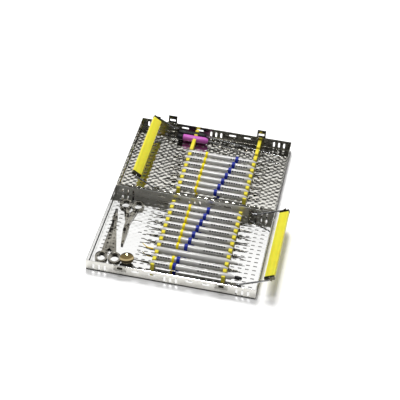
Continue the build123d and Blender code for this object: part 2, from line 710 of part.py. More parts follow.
def lid_half():
    rows = range(1, LID_ROWS + 1)
    grips = [(lid_row(row), GRIP_RADIUS + GRIP_CLEARANCE, INSTRUMENT_Z) for row in rows]
    y_front = lid_row(1) - COMB_END
    y_back = BACK_WALL - BEND - GRIP_CLEARANCE
    tools = [
        (PINK_Y, PINK_RADIUS + GRIP_CLEARANCE, PINK_Z),
        (BLACK_Y, BLACK_RADIUS + GRIP_CLEARANCE, BLACK_Z),
    ]
    node("lid_comb_left", [comb(LEFT_COMB_X, y_front, y_back, grips + tools)])
    pink_cross = shaft_y(PINK_RIGHT, PINK_Y, PINK_SHAFT_DRIFT, RIGHT_COMB_X)
    black_cross = shaft_y(BLACK_RIGHT, BLACK_Y, BLACK_SHAFT_DRIFT, RIGHT_COMB_X)
    shafts = [(pink_cross, SHAFT_RADIUS + 1.3, PINK_Z), (black_cross, SHAFT_RADIUS + 1.3, BLACK_Z)]
    node("lid_comb_right", [comb(RIGHT_COMB_X, y_front, y_back, grips + shafts)])
    for name, x in (("left", LEFT_COMB_X), ("right", RIGHT_COMB_X)):
        node("lid_channel_" + name, [channel(x, y_front, y_back)])
    node("lid_handles", [handle(lid_row(row), GRIP_RADIUS) for row in rows])
    tips = [tip(lid_row(row), 1, (row % 3 - 1) * TIP_SWING, TIP_LENGTH) for row in rows]
    tips += [tip(lid_row(row), -1, (row % 2 * 2 - 1) * TIP_SWING, TIP_LENGTH) for row in rows]
    node("lid_tips", tips)
    node("lid_yellow_rings", [marking_ring(YELLOW_RING_X, lid_row(row)) for row in rows])
    blue = [marking_ring(LID_BLUE_X + LID_BLUE_STEP * (row - 1), lid_row(row)) for row in rows]
    node("lid_blue_rings", blue)
    pink = pink_grip()
    black = across(BLACK_LEFT, BLACK_RIGHT, BLACK_Y, BLACK_Z, BLACK_RADIUS)
    node("pink_tool_grip", [pink])
    cap = across(PINK_LEFT, PINK_LEFT + PINK_CAP, PINK_Y, PINK_Z, PINK_RADIUS - PINK_CAP_STEP)
    node("pink_tool_cap", [cap])
    node("black_tool_grip", [black])
    pink_end = (SHAFT_END_X, PINK_Y - PINK_SHAFT_DRIFT, PINK_Z)
    black_end = (SHAFT_END_X, BLACK_Y - BLACK_SHAFT_DRIFT, BLACK_Z)
    pink_shaft = tapered((PINK_RIGHT - 1, PINK_Y, PINK_Z), pink_end, SHAFT_RADIUS, SHAFT_END_RADIUS, BORE_SIDES)
    black_shaft = tapered((BLACK_RIGHT - 1, BLACK_Y, BLACK_Z), black_end, SHAFT_RADIUS, SHAFT_END_RADIUS, BORE_SIDES)
    node("pink_tool_shaft", [pink_shaft - pink])
    node("black_tool_shaft", [black_shaft - black])
    for name, x in (("left", -LATCH_X), ("right", LATCH_X)):
        node("latch_bracket_" + name, [latch_bracket(x)])
        node("latch_" + name, [latch(x)])
    node("latch_pins", [latch_pin(-LATCH_X), latch_pin(LATCH_X)])


def hinges():
    third = HINGE_LENGTH / 3
    half = HINGE_LENGTH / 2
    gap = HINGE_CLEARANCE / 2
    outer_pair = [(-half, -third / 2 - gap), (third / 2 + gap, half)]
    middle = [(-third / 2 + gap, third / 2 - gap)]
    places = (-HINGE_X, HINGE_X)
    node("base_hinge_leaves", [hinge_leaf(x, -1, outer_pair) for x in places])
    node("lid_hinge_leaves", [hinge_leaf(x, 1, middle) for x in places])
    node("hinge_pins", [hinge_pin(x) for x in places])


def bars():
    back = HALF_DEPTH - ARM_FROM_WALL
    front = back - ARM_SPAN
    wire, sleeve, caps = hold_down_bar(BASE_PIVOT_X, BASE_SLEEVE_X, BASE_SLEEVE_Z, front, back)
    node("base_bar_wire", [wire])
    node("base_bar_sleeve", [sleeve])
    node("base_bar_caps", caps)
    node("base_bar_brackets", [bar_bracket(BASE_PIVOT_X, front, -1), bar_bracket(BASE_PIVOT_X, back, 1)])
    back = BACK_WALL - ARM_FROM_WALL
    front = back - ARM_SPAN
    wire, sleeve, caps = hold_down_bar(LID_PIVOT_X, LID_SLEEVE_X, LID_SLEEVE_Z, front, back)
    node("lid_bar_wire", [wire])
    node("lid_bar_sleeve", [sleeve])
    node("lid_bar_caps", caps)
    node("lid_bar_brackets", [bar_bracket(LID_PIVOT_X, front, -1), bar_bracket(LID_PIVOT_X, back, 1)])


def ring_handled():
    low = Pos(HOLDER_X, HOLDER_Y, SHEET) * Rot(0, 0, HOLDER_TURN)
    fixed, moving, screw = forged_pair(HOLDER_LENGTH, HOLDER_JAW, HOLDER_JAW_WIDTH, low)
    node("needle_holder_fixed_half", [fixed])
    node("needle_holder_moving_half", [moving])
    node("needle_holder_screw", [screw])
    low = Pos(SCISSORS_X, SCISSORS_Y, SHEET) * Rot(0, 0, SCISSORS_TURN)
    fixed, moving, screw = forged_pair(SCISSORS_LENGTH, SCISSORS_BLADE, SCISSORS_BLADE_WIDTH, low)
    node("scissors_fixed_half", [fixed])
    node("scissors_moving_half", [moving])
    node("scissors_screw", [screw])


def main():
    os.makedirs("parts", exist_ok=True)
    origin_clear = (-ORIGIN_CLEAR, ORIGIN_CLEAR, -ORIGIN_CLEAR, ORIGIN_CLEAR)
    strip_left = PLAIN_STRIP_FROM_WALL - HALF_WIDTH
    accessory_strip = (strip_left, strip_left + PLAIN_STRIP_WIDTH, SHEET - HALF_DEPTH, PLAIN_STRIP_BACK)
    node("base_tray", [folded_tray([origin_clear, accessory_strip])])
    node("lid_tray", [Pos(0, LID_CENTRE, 0) * folded_tray([])])
    base_half()
    lid_half()
    hinges()
    bars()
    ring_handled()


main()
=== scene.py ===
"""Looks of a hinged two-tray instrument cassette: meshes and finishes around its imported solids."""
import json
import logging
import math
from dataclasses import dataclass, field
from enum import Enum

import bmesh
import bpy
from mathutils import Matrix, Vector

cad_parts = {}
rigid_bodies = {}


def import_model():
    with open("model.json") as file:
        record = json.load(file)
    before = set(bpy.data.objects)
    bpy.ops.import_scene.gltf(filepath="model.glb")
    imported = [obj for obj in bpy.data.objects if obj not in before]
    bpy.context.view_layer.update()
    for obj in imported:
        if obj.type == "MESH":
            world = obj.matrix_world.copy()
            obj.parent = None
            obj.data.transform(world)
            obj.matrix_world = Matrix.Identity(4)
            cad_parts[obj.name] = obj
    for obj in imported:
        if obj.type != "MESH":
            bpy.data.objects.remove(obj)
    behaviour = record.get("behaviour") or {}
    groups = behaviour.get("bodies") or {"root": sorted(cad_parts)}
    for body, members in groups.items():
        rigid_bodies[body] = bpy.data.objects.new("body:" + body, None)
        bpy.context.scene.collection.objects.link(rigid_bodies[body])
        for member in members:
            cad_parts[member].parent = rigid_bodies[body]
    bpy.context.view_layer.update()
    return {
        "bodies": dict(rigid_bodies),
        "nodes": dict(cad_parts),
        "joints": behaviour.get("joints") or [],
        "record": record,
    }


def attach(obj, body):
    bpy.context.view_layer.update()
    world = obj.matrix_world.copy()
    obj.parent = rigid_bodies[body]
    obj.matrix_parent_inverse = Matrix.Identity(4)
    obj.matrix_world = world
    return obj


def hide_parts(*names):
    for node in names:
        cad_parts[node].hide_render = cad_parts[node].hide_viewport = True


LOG = logging.getLogger("cassette")
MM = 0.001

# ---- Sizes shared by the sub-assemblies, in millimetres ----
TRAY_WIDTH = 279.4
TRAY_DEPTH = 203.2
TRAY_HEIGHT = 19.0
SHEET = 1.0
BEND = 2.5
HINGE_GAP = 4.0
HALF_WIDTH = TRAY_WIDTH / 2
HALF_DEPTH = TRAY_DEPTH / 2
LID_EDGE = HALF_DEPTH + HINGE_GAP
LID_CENTRE = LID_EDGE + HALF_DEPTH
ROW_PITCH = 17.2
BASE_ROWS = 10
LID_ROWS = 7
THICK_ROW = 8
PIVOT_Z = 12.0
FOLDED_Z = 18.9
KINK_RUN = 9.0
KINK_RISE = 4.6
BACK_WALL = LID_EDGE + TRAY_DEPTH
SHAFT_END_X = HALF_WIDTH - 13.0
INSTRUMENT_Z = 10.0
GRIP_LEFT = -34.0
GRIP_RIGHT = 78.0
GRIP_RADIUS = 4.75
NOSE_LENGTH = 8.0
NOSE_RADIUS = 1.9
THICK_RADIUS = 5.4
MIRROR_GRIP_STRETCH = 14.0
PROBE_SWING = 9.0
TIP_SWING = 3.0
YELLOW_RING_X = -5.0
RING_CLEARANCE = 0.05
FIRST_BASE_ROW = 17.1
FIRST_LID_ROW = 31.0
# Unpunched fields of the base's floor: least and most X, then least and most Y.
PLAIN_FIELDS = [(-104, -75, -92, 64), (-7, 7, -7, 7)]
# Larger holes of the base's floor: X, Y, length and width.
LARGE_HOLES = [(-86, 59, 16, 5), (-86, 36, 16, 5), (-75, 8.6, 6, 4)]
# The floor slots' pitch along X and Y.
SLOT_PITCH = (12.1, 10.3)
CUTTER_DEPTH = 4.0
POLE_DISTANCE = 0.0005

# ---- How meshes and materials are made: angles in degrees, and a quarter turn in radians ----
CUTTER_SIDES = 12
SMOOTH_ANGLE = 38.0
SHEET_SMOOTH_ANGLE = 8.0
FLAT_ANGLE = 0.6
ROUNDED_ANGLE = 40.0
QUARTER = math.pi / 2
COAT_ROUGHNESS = 0.12
LEAST_ROUGHNESS = 0.02
# In metres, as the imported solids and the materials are.
MERGE_DISTANCE = 2e-6
SUBSURFACE_REACH = 0.002


class Turn(Enum):
    """The axis that a turned piece is spun round."""

    X = (1, 0, 0)
    Z = (0, 0, 1)


class Stop(Enum):
    """The way along X that a working end points."""

    LEFT = -1
    RIGHT = 1


def linear(code: str) -> tuple[float, float, float, float]:
    """Turns an sRGB hex colour into linear values.

    Args:
        code: six hex digits.

    Returns:
        Linear red, green, blue and an alpha of 1.
    """
    values = []
    for place in (0, 2, 4):
        part = int(code[place : place + 2], 16) / 255
        values.append(part / 12.92 if part <= 0.04045 else ((part + 0.055) / 1.055) ** 2.4)
    return (values[0], values[1], values[2], 1.0)


def add(tree: bpy.types.NodeTree, kind: str, inputs: dict | None = None, **settings) -> bpy.types.Node:
    """Adds a node to a tree with its settings and links.

    Args:
        tree: the node tree.
        kind: the node's type name.
        inputs: input name or number to a value or to the socket that feeds it.
        settings: the node's own properties.

    Returns:
        The new node.
    """
    node = tree.nodes.new(kind)
    for name, value in settings.items():
        setattr(node, name, value)
    for key, value in (inputs or {}).items():
        if isinstance(value, bpy.types.NodeSocket):
            tree.links.new(value, node.inputs[key])
        else:
            node.inputs[key].default_value = value
    return node


def emptied(owner: bpy.types.ID) -> bpy.types.NodeTree:
    """Turns nodes on for a material or a world and empties its tree.

    Args:
        owner: the material or the world.

    Returns:
        The empty tree.
    """
    owner.use_nodes = True
    owner.node_tree.nodes.clear()
    return owner.node_tree


def fineness(size_mm: float) -> float:
    """The scale of a pattern whose patches are this many millimetres across."""
    return 1 / (size_mm * MM)


def linked(name: str, data: bpy.types.ID) -> bpy.types.Object:
    """Makes an object and links it to the scene.

    Args:
        name: the object's name.
        data: its mesh, lamp or camera data.

    Returns:
        The object.
    """
    thing = bpy.data.objects.new(name, data)
    bpy.context.scene.collection.objects.link(thing)
    return thing


def meshed(name: str, mesh: bmesh.types.BMesh) -> bpy.types.Mesh:
    """Writes a mesh to new mesh data.

    Args:
        name: the data's name.
        mesh: the mesh, which is freed.

    Returns:
        The mesh data.
    """
    data = bpy.data.meshes.new(name)
    mesh.to_mesh(data)
    mesh.free()
    return data


def base_row(number: int) -> float:
    """The Y of a base instrument row, counted from the hinge."""
    return HALF_DEPTH - FIRST_BASE_ROW - (number - 1) * ROW_PITCH


def lid_row(number: int) -> float:
    """The Y of a lid instrument row, counted from the hinge."""
    return LID_EDGE + FIRST_LID_ROW + (number - 1) * ROW_PITCH


# ---- Finishes ----


@dataclass(frozen=True)
class Finish:
    """A material: its colours, how rough it is, and the patterns that its making leaves.

    The mottle blends the colour with its deep shade, and the grain spreads the roughness. Waves are slow
    hollows, and dimples the crowns between punched slots. The mm values are the sizes of the patterns, and
    the depths are in millimetres too. The slot is the record's material slot that it belongs to.
    """

    name: str
    slot: str
    colour: str
    deep: str
    roughness: float
    grain_mm: float
    grain_depth: float
    mottle_mm: float
    metallic: float = 0.0
    roughness_spread: float = 0.06
    stretch: tuple[float, float, float] = (1.0, 1.0, 1.0)
    wave_mm: float = 0.0
    wave_depth: float = 0.0
    coat: float = 0.0
    subsurface: float = 0.0
    ior: float = 1.5
    dimple_mm: tuple[float, float] = (0.0, 0.0)
    dimple_depth: float = 0.0

    def make(self) -> bpy.types.Material:
        """Builds the node material.

        Returns:
            The material.
        """
        material = bpy.data.materials.new(self.name)
        tree = emptied(material)
        whole = add(tree, "ShaderNodeTexCoord").outputs["Object"]
        place = add(tree, "ShaderNodeMapping", {"Vector": whole, "Scale": self.stretch}).outputs[0]
        patches = {"Vector": place, "Scale": fineness(self.mottle_mm), "Detail": 3.0, "Roughness": 0.55}
        mottle = add(tree, "ShaderNodeTexNoise", patches).outputs["Fac"]
        specks = {"Vector": place, "Scale": fineness(self.grain_mm), "Detail": 2.0}
        grain = add(tree, "ShaderNodeTexNoise", specks).outputs["Fac"]
        # The mottle blends the colour with the deep one; on the forged steel this paints light and dark
        # reflections.
        shades = {"Factor": mottle, 6: linear(self.deep), 7: linear(self.colour)}
        spread = {
            "Value": grain,
            "From Min": 0.3,
            "From Max": 0.7,
            "To Min": max(LEAST_ROUGHNESS, self.roughness - self.roughness_spread),
            "To Max": self.roughness + self.roughness_spread,
        }
        looks = {
            "Base Color": add(tree, "ShaderNodeMix", shades, data_type="RGBA").outputs[2],
            "Roughness": add(tree, "ShaderNodeMapRange", spread).outputs[0],
            "Normal": self.relief(tree, whole, grain),
            "Metallic": self.metallic,
            "Coat Weight": self.coat,
            "Coat Roughness": COAT_ROUGHNESS,
            "Subsurface Weight": self.subsurface,
            "Subsurface Scale": SUBSURFACE_REACH,
        }
        if not self.metallic:
            looks["IOR"] = self.ior
        shader = add(tree, "ShaderNodeBsdfPrincipled", looks)
        add(tree, "ShaderNodeOutputMaterial", {"Surface": shader.outputs[0]})
        return material

    def relief(
        self, tree: bpy.types.NodeTree, whole: bpy.types.NodeSocket, grain: bpy.types.NodeSocket
    ) -> bpy.types.NodeSocket:
        """Lays the grain, the slow waves and the crowns between punched slots on the surface.

        Args:
            tree: the material's tree.
            whole: the object coordinate.
            grain: the grain pattern.

        Returns:
            The normal's socket.
        """
        layers = [(grain, self.grain_depth, 0.5)]
        if self.wave_mm:
            hollows = {"Vector": whole, "Scale": fineness(self.wave_mm), "Detail": 1.0}
            layers.append((add(tree, "ShaderNodeTexNoise", hollows).outputs["Fac"], self.wave_depth, 1.0))
        if self.dimple_depth:
            split = add(tree, "ShaderNodeSeparateXYZ", {"Vector": whole})
            crowns = {}
            for number, pitch in enumerate(self.dimple_mm):
                turns = {0: split.outputs[number], 1: math.tau / (pitch * MM)}
                angle = add(tree, "ShaderNodeMath", turns, operation="MULTIPLY").outputs[0]
                crowns[number] = add(tree, "ShaderNodeMath", {0: angle}, operation="COSINE").outputs[0]
            both = add(tree, "ShaderNodeMath", crowns, operation="MULTIPLY").outputs[0]
            layers.append((both, self.dimple_depth, 1.0))
        below = {}
        for height, depth, strength in layers:
            bump = {"Height": height, "Strength": strength, "Distance": depth * MM} | below
            below = {"Normal": add(tree, "ShaderNodeBump", bump).outputs["Normal"]}
        return below["Normal"]


# Cold-rolled stainless sheet, electropolished: mirror-like with a faint roll line and a slow waviness.
SHEET_STEEL = Finish(
    "electropolished_stainless_sheet", "stainless_polished", colour="F2F2F1", deep="E0E0DE", metallic=1.0,
    roughness=0.06, roughness_spread=0.03, grain_mm=1.6, grain_depth=0.008, mottle_mm=24.0,
    stretch=(0.25, 1.0, 1.0), wave_mm=22.0, wave_depth=0.08, dimple_mm=SLOT_PITCH, dimple_depth=0.012,
)
# The same sheet on the lid, more sprung by its punching, so it breaks up what it reflects.
LID_STEEL = Finish(
    "electropolished_stainless_lid", "stainless_polished", colour="ECEAE4", deep="CFCDC4", metallic=1.0,
    roughness=0.06, roughness_spread=0.03, grain_mm=1.6, grain_depth=0.01, mottle_mm=18.0,
    stretch=(0.5, 1.0, 1.0), wave_mm=9.0, wave_depth=0.26, dimple_mm=SLOT_PITCH, dimple_depth=0.05,
)
# The lid's long walls, folded last: a shade duller where the press tool has rubbed them, and a darker colour
# that is painted shade for these walls' dark faces.
WALL_STEEL_PAINTED_SHADE = Finish(
    "pressed_stainless_wall_painted_shade", "stainless_polished", colour="DEDCD4", deep="B8B6AC", metallic=1.0,
    roughness=0.22, roughness_spread=0.05, grain_mm=1.2, grain_depth=0.012, mottle_mm=16.0,
    stretch=(0.2, 1.0, 1.0), wave_mm=16.0, wave_depth=0.1,
)
# The base's long walls, which the hands rub: satin along the wall.
SATIN_WALL = Finish(
    "satin_stainless_wall", "stainless_polished", colour="F2F0EA", deep="DAD8D0", metallic=0.8,
    roughness=0.32, grain_mm=1.0, grain_depth=0.012, mottle_mm=16.0, stretch=(0.15, 1.0, 1.0), wave_mm=16.0,
    wave_depth=0.08,
)
# Forged stainless, tumbled then buffed: its colour mottles grey with near-black, painted reflections of light
# and dark swirls.
FORGED_STEEL_PAINTED_REFLECTIONS = Finish(
    "forged_stainless_painted_reflections", "stainless_satin", colour="BCB8AC", deep="26231E", metallic=1.0,
    roughness=0.05, roughness_spread=0.03, grain_mm=0.5, grain_depth=0.012, mottle_mm=12.0, wave_mm=10.0,
    wave_depth=0.7,
)
# Pressed stainless fittings, satin from the tumbling barrel.
FITTING_STEEL = Finish(
    "barrel_finished_stainless", "stainless_satin", colour="D2D0C8", deep="9C9A92", metallic=1.0,
    roughness=0.16, grain_mm=0.5, grain_depth=0.02, mottle_mm=5.0,
)
# Dark end caps: pressed steel with a smoked oxide.
CAP_STEEL = Finish(
    "dark_pressed_steel", "stainless_satin", colour="7E7B68", deep="3E3C32", metallic=1.0, roughness=0.24,
    roughness_spread=0.08, grain_mm=0.6, grain_depth=0.02, mottle_mm=5.0,
)
# Drawn stainless wire: clean highlights along it.
WIRE_STEEL = Finish(
    "drawn_stainless_wire", "stainless_satin", colour="D2D3D6", deep="A2A4A8", metallic=1.0, roughness=0.15,
    grain_mm=0.5, grain_depth=0.015, mottle_mm=6.0, stretch=(1.0, 0.2, 1.0),
)
# Moulded silicone sleeve: dense, opaque, slightly dusty yellow.
SLEEVE_SILICONE = Finish(
    "moulded_silicone_yellow", "silicone_yellow", colour="E0DA42", deep="D4C630", roughness=0.42,
    roughness_spread=0.08, grain_mm=0.5, grain_depth=0.03, mottle_mm=14.0, subsurface=0.25, ior=1.41,
)
# Moulded silicone comb: amber and a little translucent.
COMB_SILICONE = Finish(
    "moulded_silicone_amber", "silicone_yellow_clear", colour="E6DA48", deep="C9B824", roughness=0.3,
    roughness_spread=0.08, grain_mm=0.6, grain_depth=0.02, mottle_mm=9.0, subsurface=0.1, ior=1.41,
)
# Silicone marking rings: saturated, with a soft gloss.
RING_YELLOW = Finish(
    "ring_silicone_yellow", "silicone_yellow", colour="FBE61F", deep="F0D60E", roughness=0.38, grain_mm=0.4,
    grain_depth=0.015, mottle_mm=6.0, subsurface=0.2, ior=1.41,
)
# The blue marking rings, of the same silicone.
RING_BLUE = Finish(
    "ring_silicone_blue", "silicone_blue", colour="1C30A4", deep="13217D", roughness=0.36, grain_mm=0.4,
    grain_depth=0.015, mottle_mm=6.0, subsurface=0.1, ior=1.41,
)
# Glass-filled resin grip: pale grey, fine moulded grain.
GRIP_RESIN = Finish(
    "moulded_resin_grey", "resin_grey", colour="C9C8C6", deep="B4B3B1", roughness=0.3, grain_mm=0.35,
    grain_depth=0.03, mottle_mm=12.0, coat=1.0,
)
# Painted shade: the unlit bottoms of the grip's moulded pockets, in the grey resin painted nearly black.
POCKET_PAINTED_SHADE = Finish(
    "pocket_resin_painted_shade", "resin_grey", colour="1A1A1C", deep="101012", roughness=0.6,
    roughness_spread=0.05, grain_mm=0.4, grain_depth=0.02, mottle_mm=4.0,
)
# Solid-coloured resin of the long tool's grip, with a low gloss.
PINK_RESIN = Finish(
    "moulded_resin_pink", "resin_pink", colour="C866BE", deep="B452AC", roughness=0.38, grain_mm=0.5,
    grain_depth=0.02, mottle_mm=14.0, coat=0.1,
)
# Flexible moulded plastic of the probe: even yellow with a low gloss.
PROBE_PLASTIC = Finish(
    "moulded_plastic_yellow", "plastic_yellow", colour="F0D22A", deep="DDB818", roughness=0.4, grain_mm=0.4,
    grain_depth=0.02, mottle_mm=6.0,
)
# Black moulded plastic of the long tools and the mirror grip's foot: a broad, dull highlight.
BLACK_PLASTIC = Finish(
    "moulded_plastic_black", "plastic_black", colour="202024", deep="0F0F12", roughness=0.36,
    roughness_spread=0.08, grain_mm=0.4, grain_depth=0.02, mottle_mm=8.0,
)
# Silvered glass: clear reflections with a warm cast.
MIRROR_GLASS = Finish(
    "silvered_glass", "mirror_glass", colour="BCAA80", deep="AC9870", metallic=1.0, roughness=0.05,
    roughness_spread=0.01, grain_mm=2.0, grain_depth=0.001, mottle_mm=12.0,
)


@dataclass
class Workshop:
    """Keeps the frame and the made materials, and turns meshes into pieces that ride on a body."""

    frame: dict
    materials: dict[str, bpy.types.Material] = field(default_factory=dict)
    count: int = 0

    def material(self, finish: Finish) -> bpy.types.Material:
        """Makes a finish's material the first time that it is asked for.

        Args:
            finish: the finish.

        Returns:
            The material.
        """
        if finish.name not in self.materials:
            self.materials[finish.name] = finish.make()
        return self.materials[finish.name]

    def piece(
        self,
        mesh: bmesh.types.BMesh,
        name: str,
        body: str,
        finishes: list[Finish],
        nodes: list[str],
        scale: float = MM,
        recalculate: bool = True,
        smooth: float = SMOOTH_ANGLE,
    ) -> bpy.types.Object:
        """Turns a mesh in millimetres into a finished piece.

        Args:
            mesh: the mesh, which is freed.
            name: the piece's name.
            body: the body it rides on.
            finishes: its materials, in slot order.
            nodes: the nodes it stands for.
            scale: the factor to metres.
            recalculate: whether its faces are turned outwards.
            smooth: the angle in degrees past which an edge stays sharp.

        Returns:
            The object.
        """
        if recalculate:
            bmesh.ops.recalc_face_normals(mesh, faces=mesh.faces)
        if scale != 1.0:
            bmesh.ops.scale(mesh, vec=(scale, scale, scale), verts=mesh.verts)
        data = meshed(name, mesh)
        for finish in finishes:
            data.materials.append(self.material(finish))
        data.shade_smooth()
        data.set_sharp_from_angle(angle=math.radians(smooth))
        thing = linked(name, data)
        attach(thing, body)
        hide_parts(*nodes)
        self.count += 1
        LOG.info("%s: %d faces on %s", name, len(data.polygons), body)
        return thing

    def turned_piece(
        self, name: str, body: str, finish: Finish, node: str, outline: list, centre: tuple, steps: int
    ) -> None:
        """Builds a piece that is turned round an axis along X.

        Args:
            name: the piece's name.
            body: the body it rides on.
            finish: its finish.
            node: the node it stands for.
            outline: places along the axis with their radii.
            centre: the axis's starting point.
            steps: the faces round the piece.
        """
        mesh = bmesh.new()
        turned(mesh, outline, centre, Turn.X, steps)
        self.piece(mesh, name, body, [finish], [node])

    def drawn_piece(
        self, name: str, body: str, finish: Finish, node: str, path: list, radii: list[float], sides: int
    ) -> None:
        """Builds a piece that is a round section along a path.

        Args:
            name: the piece's name.
            body: the body it rides on.
            finish: its finish.
            node: the node it stands for.
            path: the points.
            radii: the radius at each point.
            sides: the faces round the section.
        """
        mesh = bmesh.new()
        drawn(mesh, path, radii, sides)
        self.piece(mesh, name, body, [finish], [node])

    def dress(self, node: str, body: str, finish: Finish, radius: float, segments: int = 2) -> None:
        """Replaces a node by its own shape with merged flat faces, rounded edges and a finish.

        Args:
            node: the node's name.
            body: the body it rides on.
            finish: its finish.
            radius: the edge radius in millimetres.
            segments: the faces across each rounded edge.
        """
        mesh = bmesh.new()
        mesh.from_mesh(self.frame["nodes"][node].data)
        bmesh.ops.remove_doubles(mesh, verts=mesh.verts, dist=MERGE_DISTANCE)
        flat = math.radians(FLAT_ANGLE)
        bmesh.ops.dissolve_limit(mesh, angle_limit=flat, verts=mesh.verts, edges=mesh.edges)
        least = math.radians(ROUNDED_ANGLE)
        sharp = [e for e in mesh.edges if e.is_manifold and e.calc_face_angle(0.0) > least]
        eased(mesh, sharp, radius * MM, segments)
        self.piece(mesh, node + "_dressed", body, [finish], [node], scale=1.0, recalculate=False)


# ---- Shapes made of bmesh operators ----


def eased(mesh: bmesh.types.BMesh, edges: list, radius: float, segments: int) -> None:
    """Rounds some edges of a mesh.

    Args:
        mesh: the mesh.
        edges: the edges that are rounded.
        radius: their radius.
        segments: the faces across each edge.
    """
    bmesh.ops.bevel(
        mesh, geom=edges, offset=radius, offset_type="OFFSET", affect="EDGES", segments=segments, profile=0.5,
        clamp_overlap=True, material=-1,
    )


def vertices(geometry: list) -> list:
    """Picks the vertices out of what an operator returns."""
    return [part for part in geometry if isinstance(part, bmesh.types.BMVert)]


def turned(
    mesh: bmesh.types.BMesh, profile: list[tuple[float, float]], centre: tuple, axis: Turn, steps: int
) -> None:
    """Spins a profile round an axis.

    Args:
        mesh: the mesh to add to.
        profile: places along the axis with their radii.
        centre: the axis's starting point.
        axis: the axis.
        steps: the faces round the piece.
    """
    along = Vector(axis.value)
    aside = Vector((0, 0, 1)) if axis is Turn.X else Vector((1, 0, 0))
    start = Vector(centre)
    before = set(mesh.faces)
    verts = [mesh.verts.new(start + along * place + aside * radius) for place, radius in profile]
    edges = [mesh.edges.new(pair) for pair in zip(verts, verts[1:])]
    bmesh.ops.spin(
        mesh, geom=verts + edges, cent=start, axis=along, angle=math.tau, steps=steps, use_merge=True,
        use_duplicate=False,
    )
    points = list({vert for face in mesh.faces if face not in before for vert in face.verts})
    bmesh.ops.remove_doubles(mesh, verts=points, dist=POLE_DISTANCE)


def drawn(mesh: bmesh.types.BMesh, path: list[tuple], radii: list[float], sides: int) -> None:
    """Draws a round section along a path: a ring at each point, bridged to the next, with closed ends.

    Args:
        mesh: the mesh to add to.
        path: the points.
        radii: the radius at each point.
        sides: the faces round the section.
    """
    points = [Vector(p) for p in path]
    rings = []
    for place, point in enumerate(points):
        before = points[max(0, place - 1)]
        after = points[min(len(points) - 1, place + 1)]
        turn = (after - before).to_track_quat("Z", "Y").to_matrix().to_4x4()
        made = bmesh.ops.create_circle(
            mesh, cap_ends=False, radius=radii[place], segments=sides, matrix=Matrix.Translation(point) @ turn
        )
        ring = made["verts"]
        rings.append(list({edge for vert in ring for edge in vert.link_edges}))
    for one, two in zip(rings, rings[1:]):
        bmesh.ops.bridge_loops(mesh, edges=one + two)
    for ring in (rings[0], rings[-1]):
        bmesh.ops.edgenet_fill(mesh, edges=ring)


def rounded_path(corners: list[tuple], radius: float, steps: int) -> list[Vector]:
    """Rounds the corners of a straight-run path.

    Args:
        corners: the path's corners.
        radius: the bend radius.
        steps: the points along each bend.

    Returns:
        The path's points.
    """
    places = [Vector(c) for c in corners]
    path = [places[0]]
    for before, corner, after in zip(places, places[1:], places[2:]):
        into = (corner - before).normalized()
        out = (after - corner).normalized()
        turn = into.angle(out)
        if turn < 0.02:
            continue
        setback = radius * math.tan(turn / 2)
        start = corner - into * setback
        centre = corner + (out - into).normalized() * (radius / math.cos(turn / 2))
        axis = into.cross(out).normalized()
        for step in range(steps + 1):
            spun = Matrix.Rotation(turn * step / steps, 3, axis) @ (start - centre)
            path.append(centre + spun)
    path.append(places[-1])
    return path


def block(mesh: bmesh.types.BMesh, middle: tuple, half: tuple, edge: float = 0.0, segments: int = 2) -> list:
    """Adds a block with rounded edges.

    Args:
        mesh: the mesh to add to.
        middle: its middle.
        half: half its sizes.
        edge: the radius of its edges.
        segments: the faces across each edge.

    Returns:
        The block's vertices.
    """
    verts = bmesh.ops.create_cube(mesh, size=2.0)["verts"]
    bmesh.ops.scale(mesh, vec=half, verts=verts)
    bmesh.ops.translate(mesh, vec=middle, verts=verts)
    if edge:
        eased(mesh, list({e for v in verts for e in v.link_edges}), edge, segments)
    return verts


def oblong(mesh: bmesh.types.BMesh, size: tuple[float, float], matrix: Matrix) -> None:
    """Adds a closed slot cutter with round ends, long in its own X and deep in its own Z.

    Args:
        mesh: the mesh to add to.
        size: the slot's length and width.
        matrix: where it goes.
    """
    length, width = size
    verts = bmesh.ops.create_circle(mesh, cap_ends=True, radius=width / 2, segments=CUTTER_SIDES)["verts"]
    shift = (length - width) / 2
    right = [v for v in verts if v.co.x > 0.001]
    left = [v for v in verts if v.co.x < -0.001]
    bmesh.ops.translate(mesh, vec=(shift, 0, 0), verts=right)
    bmesh.ops.translate(mesh, vec=(-shift, 0, 0), verts=left)
    bmesh.ops.translate(mesh, vec=(0, 0, -CUTTER_DEPTH / 2), verts=verts)
    faces = list({f for v in verts for f in v.link_faces})
    grown = bmesh.ops.extrude_face_region(mesh, geom=faces)
    top = vertices(grown["geom"])
    bmesh.ops.translate(mesh, vec=(0, 0, CUTTER_DEPTH), verts=top)
    bmesh.ops.transform(mesh, matrix=matrix, verts=list(set(verts) | set(top)))


def cut(solid: bmesh.types.BMesh, cutter: bmesh.types.BMesh) -> bmesh.types.BMesh:
    """Takes the cutter away from the solid. Both meshes are freed.

    Args:
        solid: the mesh that is cut.
        cutter: the closed shapes that are taken away.

    Returns:
        The cut mesh.
    """
    bmesh.ops.recalc_face_normals(solid, faces=solid.faces)
    bmesh.ops.recalc_face_normals(cutter, faces=cutter.faces)
    things = [linked("cutting", meshed("cutting", mesh)) for mesh in (solid, cutter)]
    modifier = things[0].modifiers.new("slots", "BOOLEAN")
    modifier.operation = "DIFFERENCE"
    modifier.solver = "EXACT"
    modifier.object = things[1]
    bpy.context.view_layer.update()
    graph = bpy.context.evaluated_depsgraph_get()
    result = bpy.data.meshes.new_from_object(things[0].evaluated_get(graph))
    mesh = bmesh.new()
    mesh.from_mesh(result)
    bpy.data.meshes.remove(result)
    for thing in things:
        data = thing.data
        bpy.data.objects.remove(thing)
        bpy.data.meshes.remove(data)
    return mesh


# ---- The trays ----


